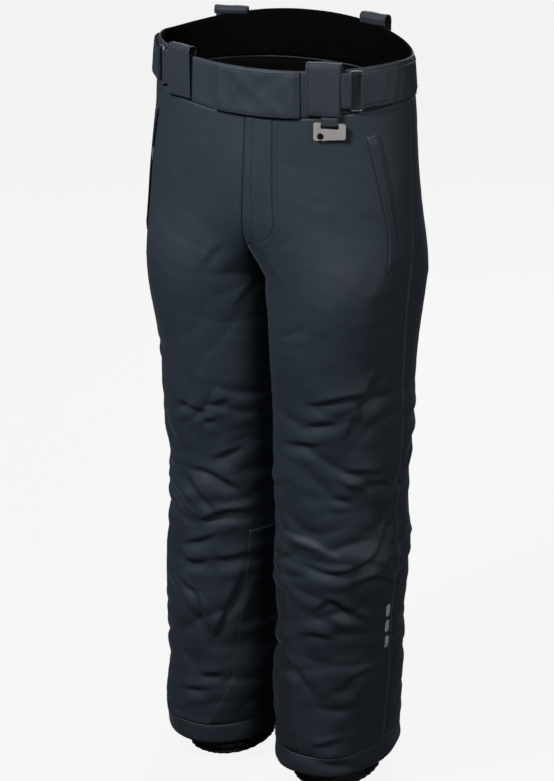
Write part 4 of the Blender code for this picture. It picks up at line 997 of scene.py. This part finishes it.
loop_lines = []
for word, side, u0, above in (("front_left", 1, FRONT_LOOP_U, .010),
                              ("front_right", -1, FRONT_LOOP_U, .010),
                              ("rear_left", 1, REAR_LEFT_LOOP_U, .013),
                              ("rear_right", -1, REAR_RIGHT_LOOP_U, .009)):
    seam_z, rim_z = waist_height(u0, 0), waist_height(u0, 1)
    place, back, outward = tangent_frame(side, u0, (seam_z + rim_z) / 2)
    path = [(.0036, seam_z + .0010, .8, .6), (.0052, seam_z + .0060, 1, 0),
            (.0052, rim_z - .0040, 1, 0), (.0048, rim_z + above * .6, .9, .4),
            (.0026, rim_z + above, .3, 1), (-.0040, rim_z + above, -.3, 1),
            (-.0072, rim_z + above * .6, -.9, .4), (-.0066, rim_z + above * .3, -1, 0),
            (-.0052, rim_z - LOOP_TUCK, -1, 0)]
    seed = len(word) + side

    def wave(t, s):
        return (0.30 * np.sin(s * 9 + seed + 6 * t) * smooth(t, 0, .1)
                + 0.25 * np.sin(t * 23 + 2 * s + seed)) * MM
    line, cross = ribbon(f"cloth_loop_{word}",
                         folded_path(place * (1, 1, 0), back, outward, LOOP_WIDTH / 2, path),
                         0.0012, WEBBING, f"suspender_loop_{word}", columns=18,
                         wave=wave)
    loop_lines += [line(0.065, 0.02, 0.95), line(0.935, 0.02, 0.95), cross(0.04)]

# ---- side adjusters ---------------------------------------------------------------------------
STRAP_THICK, STRAP_HALF = 0.0010, 0.0225
STRAP_UP = np.array((0, 0, STRAP_HALF))
STRAP_FREE = 0.42                       # share of the strap end's rows that wrap the bar
KEEPER_TAIL, KEEPER_OPEN = 0.012, 0.0025


def flat_strap(side, start, reach, steps, offset, half, narrowing=0.0, first=0):
    """Stations of a strap that lies along the waistband, by steps from the ring's place."""
    stations = []
    for k in range(first, steps + 1):
        u, h = RING_U + start + reach * k / steps, half - narrowing * k
        z = waist_height(u, 0.5)
        stations.append((skin(side, u, z - h) + skin_normal(side, u, z - h) * offset,
                         skin(side, u, z + h) + skin_normal(side, u, z + h) * offset,
                         skin_normal(side, u, z)))
    return stations


def bar_wrap(bar, back, outward, turns, reach):
    stations = []
    for degrees in turns:
        t = math.radians(degrees)
        facing = back * math.cos(t) + outward * math.sin(t)
        stations.append((bar + facing * reach - STRAP_UP, bar + facing * reach + STRAP_UP, facing))
    return stations


pants_strap_lines = []
for side, word in SIDES:
    centre, back, outward = tangent_frame(side, RING_U, waist_height(RING_U, 0.5))
    centre = centre + outward * RING_LIFT
    reach = RING_WIRE + GAP + STRAP_THICK / 2
    front_bar, rear_bar = centre - back * RING_HALF_WIDTH, centre + back * RING_HALF_WIDTH
    upper = front_bar - back * KEEPER_TAIL - outward * (reach - KEEPER_OPEN)
    lower = front_bar - back * KEEPER_TAIL - outward * reach
    wrap = bar_wrap(front_bar, back, outward, (90, 45, 0, -45, -90), reach)
    line, _ = ribbon(f"cloth_keeper_{word}",
                     [(upper - STRAP_UP, upper + STRAP_UP, outward)] + wrap
                     + [(lower - STRAP_UP, lower + STRAP_UP, -outward)], STRAP_THICK, WEBBING,
                     f"adjuster_keeper_{word}", columns=14, step=.0015, margin=.002)
    pants_strap_lines += [line(0.05, .02, .4), line(0.95, .02, .4)]

    def wave(t, s):
        return (0.35 * np.sin(t * 17 + 3 * s) + 0.2 * np.sin(t * 41 - 4 * s)) * smooth(t, .15, .4) * MM
    strap_body = f"adjuster_strap_end_{word}"
    wrap = bar_wrap(rear_bar, back, outward, (270, 225, 180, 135, 90), reach)
    line, cross = ribbon(f"cloth_strap_end_{word}",
                         wrap + flat_strap(side, .075, .42, 8, .0062, STRAP_HALF, .0003, 1),
                         STRAP_THICK, TRIM, strap_body, body=strap_body, columns=18,
                         step=.002, wave=wave, bulge_by=.0003)
    threads = [line(0.075, STRAP_FREE, .98), line(0.925, STRAP_FREE, .98), cross(.965)]
    # piping along the strap end's lower edge
    low_edge, normals = line(0.012, STRAP_FREE, 1.0)
    pipe = [(p - n * .0004 - np.array((0, 0, .0011)), p - n * .0004 + np.array((0, 0, .0003)), n)
            for p, n in zip(low_edge[::4], normals[::4])]
    ribbon(f"piping_{word}", pipe, .0012, PIPING, (), body=strap_body, columns=6,
           margin=1.0)
    ribbon(f"hook_tape_{word}", flat_strap(side, .215, .20, 5, .0045, .0170), .0010, ELASTIC,
           f"hook_pad_{word}", body=strap_body, columns=12, step=.002, margin=.002)
    line, _ = ribbon(f"cloth_strap_{word}", flat_strap(side, .105, .62, 12, .0024, .0195),
                     STRAP_THICK, WEBBING, f"adjuster_strap_{word}", columns=14,
                     margin=.0025)
    pants_strap_lines += [line(0.06), line(0.94)]
    stitches(f"stitches_strap_end_{word}", threads, THREAD, strap_body)

# ---- ticket webbing ---------------------------------------------------------------------------
seam_z = waist_height(PLATE_U, 0)
place, back, outward = tangent_frame(1, PLATE_U, seam_z)
place = place * (1, 1, 0) + np.array((0, 0, seam_z - .0100)) + outward * 0.0062
ply = .0009
mid = .0014 + ply / 2                   # half the slot's depth and half the webbing
path = [(mid, .0093, 1, 0), (mid, .0040, 1, 0), (mid, -.0002, 1, 0), (.0011, -.0012, .5, -1),
        (0, -.0014, 0, -1), (-.0011, -.0012, -.5, -1), (-mid, -.0002, -1, 0),
        (-mid, .0040, -1, 0), (-mid, .0093, -1, 0)]
ribbon("cloth_ticket_webbing", folded_path(place, back, outward, .0110, path), ply, WEBBING,
       "ticket_webbing", columns=12, step=.0008, margin=.0018)
stitches("stitches_waist", band_lines + loop_lines + pants_strap_lines, THREAD)
stitches("stitches_shell", shell_lines + welt_lines, DARK_THREAD)
stitches("stitches_guard", guard_lines, DARK_THREAD, radius=0.00020)

# ---- gaiters ----------------------------------------------------------------------------------
GAITER_Z = (0.0, 0.018, 0.050, 0.130)
GAITER_X = (0.0545, 0.0565, 0.0600, 0.0660)
GAITER_Y = (0.0720, 0.0745, 0.0800, 0.0895)
GAITER_CENTRE = (0.0905, -0.0030)
GAITER_ROUND = 0.42                     # metres round it, for the weave
ELASTIC_ROWS = (0.0045, 0.0150)


def gaiter_point(side, turn, z, inset):
    half_x = np.interp(z, GAITER_Z, GAITER_X) - inset
    half_y = np.interp(z, GAITER_Z, GAITER_Y) - inset
    c, s = np.cos(2 * np.pi * turn), np.sin(2 * np.pi * turn)
    power = 2 / SECTION_POWER
    return np.stack([side * (GAITER_CENTRE[0] + half_x * power_of(c, power)),
                     GAITER_CENTRE[1] + half_y * power_of(s, power), z], -1)


def ruffle(side, turn, z):
    """Gathers: pinched at two rows of elastic, full between and above them."""
    phase = 0.35 * np.sin(2 * np.pi * turn * 3 + side) + 0.2 * np.sin(2 * np.pi * turn * 7)
    pleat = np.sin(2 * np.pi * (turn * 30 + phase + 1.6 * z / 0.05))
    pleat = pleat * (0.75 + 0.25 * np.sin(2 * np.pi * turn * 11 + 2))
    pinch = sum(bump(z, row, 0.0018) for row in ELASTIC_ROWS)
    full = 0.8 + 0.9 * smooth(z, 0.018, 0.032) - 1.3 * smooth(z, 0.05, 0.12)
    return ((1 - 0.8 * np.minimum(pinch, 1)) * full * pleat - 1.2 * pinch
            + 1.0 * bump(z, 0.0095, 0.003) + 0.8 * bump(z, 0.0, 0.002)) * MM


def gaiter_tube(name, side, heights, columns, inset, offset_of, thick, material, node,
                seam_of):
    z, turn = grid(heights, np.arange(columns) / columns)
    surface = gaiter_point(side, turn, z, inset)
    centre = np.array((side * GAITER_CENTRE[0], GAITER_CENTRE[1], 0))
    outward = unit((surface - centre) * (1, 1, 0))
    offset = offset_of(ruffle(side, turn, z))
    return two_sided(name, surface + outward * offset[..., None],
                     surface + outward * (offset - thick)[..., None],
                     grid_quads(*z.shape, True), side < 0, np.stack([turn * GAITER_ROUND, z], -1),
                     seam_of(z), material, "pants", node)


for side, word in SIDES:
    heights = np.concatenate([np.linspace(0, 0.022, 18)[:-1], np.linspace(0.022, 0.130, 29)])
    obj = gaiter_tube(f"cloth_gaiter_{word}", side, heights, 330, 0.0, lambda r: r - 0.0004,
                      0.0010, GAITER, f"gaiter_{word}",
                      lambda z: np.min([np.abs(z - row) for row in ELASTIC_ROWS], axis=0))
    gaiter_tube(f"cloth_elastic_{word}", side, np.linspace(0.0005, 0.018, 10), 200, 0.0018,
                lambda r: np.minimum(r, 0) * 0.5 - 0.0016, 0.0012, ELASTIC,
                f"gaiter_elastic_{word}", np.ones_like)

# ---- plain reflective dashes on the lower leg ---------------------------------------------------
DASH_U, DASH_HALF_U, DASH_LENGTH = -0.034, 0.0140, 0.018
for count, low_z in enumerate((0.262, 0.238, 0.214), 1):
    z, across = grid(np.linspace(low_z, low_z + DASH_LENGTH, 12),
                     np.linspace(-DASH_HALF_U, DASH_HALF_U, 6))
    rounding = (1 - 0.35 * np.abs(np.linspace(-1, 1, 12))**6)[:, None]
    cloth_panel(f"reflective_dash_{count}", 1, DASH_U + across * rounding, z, DASH_LAYER,
                PRINT, ())

# ---- metal and hard parts keep their CAD shape ---------------------------------------------------
for name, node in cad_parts.items():
    if node.hide_render:
        continue
    look = PLATE_METAL if name == "ticket_plate" else RING_METAL if "ring" in name else ZIP_METAL
    node.data.materials.clear()
    node.data.materials.append(look)
    edge = node.modifiers.new("edge", "BEVEL")
    edge.width, edge.segments, edge.limit_method = 0.00018, 2, "ANGLE"
    edge.angle_limit = math.radians(50)

# ---- floor, light and camera ---------------------------------------------------------------------
FLOOR_HALF, FLOOR_GLOW, FLOOR_TONE, BACKDROP = 30, 0.885, 0.045, 0.9


def grey(value):
    return value, value, value, 1


floor_mesh = bpy.data.meshes.new("floor")
floor_mesh.from_pydata([(x * FLOOR_HALF, y * FLOOR_HALF, 0)
                        for x, y in ((-1, -1), (1, -1), (1, 1), (-1, 1))], [], [(0, 1, 2, 3)])
floor = bpy.data.objects.new("floor", floor_mesh)
bpy.context.scene.collection.objects.link(floor)
# pale paper: it glows to the camera, and other rays see only its dark matt part
paper = Nodes(bpy.data.materials.new("floor_paper"))
matt = paper.tree.nodes["Principled BSDF"]
paper.fill(matt, {"Base Color": grey(FLOOR_TONE), "Roughness": 0.9, "Specular IOR Level": 0.0})
lit = paper.new("AddShader", {0: paper.new("Emission", {"Color": grey(FLOOR_GLOW)}),
                              1: matt.outputs[0]})
seen = paper.new("LightPath", output="Is Camera Ray")
paper.fill(paper.tree.nodes["Material Output"],
           {"Surface": paper.new("MixShader", {0: seen, 1: matt.outputs[0], 2: lit})})
floor_mesh.materials.append(paper.owner)

world = bpy.data.worlds.new("studio")
bpy.context.scene.world = world
studio = Nodes(world)
sky = studio.tree.nodes["Background"]
studio.fill(sky, {"Color": (0.95, 0.97, 1.0, 1), "Strength": AMBIENT})
seen = studio.new("LightPath", output="Is Camera Ray")
backdrop = studio.new("Background", {"Color": grey(BACKDROP)})
studio.fill(studio.tree.nodes["World Output"],
            {"Surface": studio.new("MixShader", {0: seen, 1: sky.outputs[0], 2: backdrop})})


def aimed(obj, place, target):
    obj.location = place
    obj.rotation_euler = (Vector(target) - Vector(place)).to_track_quat("-Z", "Y").to_euler()
    bpy.context.scene.collection.objects.link(obj)


for name, place, target, size, power in (
        ("key", (-0.45, -1.25, 2.05), (0, 0, 0.75), 0.55, 33),
        ("fill", (2.0, -1.0, 1.9), (0, 0, 0.85), 1.2, 21),
        ("rear", (-0.6, 2.4, 2.2), (0, 0, 0.6), 1.4, 48)):
    data = bpy.data.lights.new(name, "AREA")
    data.shape, data.size, data.energy = "DISK", size, power
    aimed(bpy.data.objects.new(name, data), place, target)

camera = bpy.data.objects.new("camera", bpy.data.cameras.new("camera"))
aimed(camera, (1.634, -2.524, 1.63), (-0.010, -0.008, 0.553))
camera.data.sensor_width, camera.data.lens, camera.data.clip_end = 36, 106.6, 100
bpy.context.scene.camera = camera
bpy.context.scene.view_settings.view_transform = "Standard"
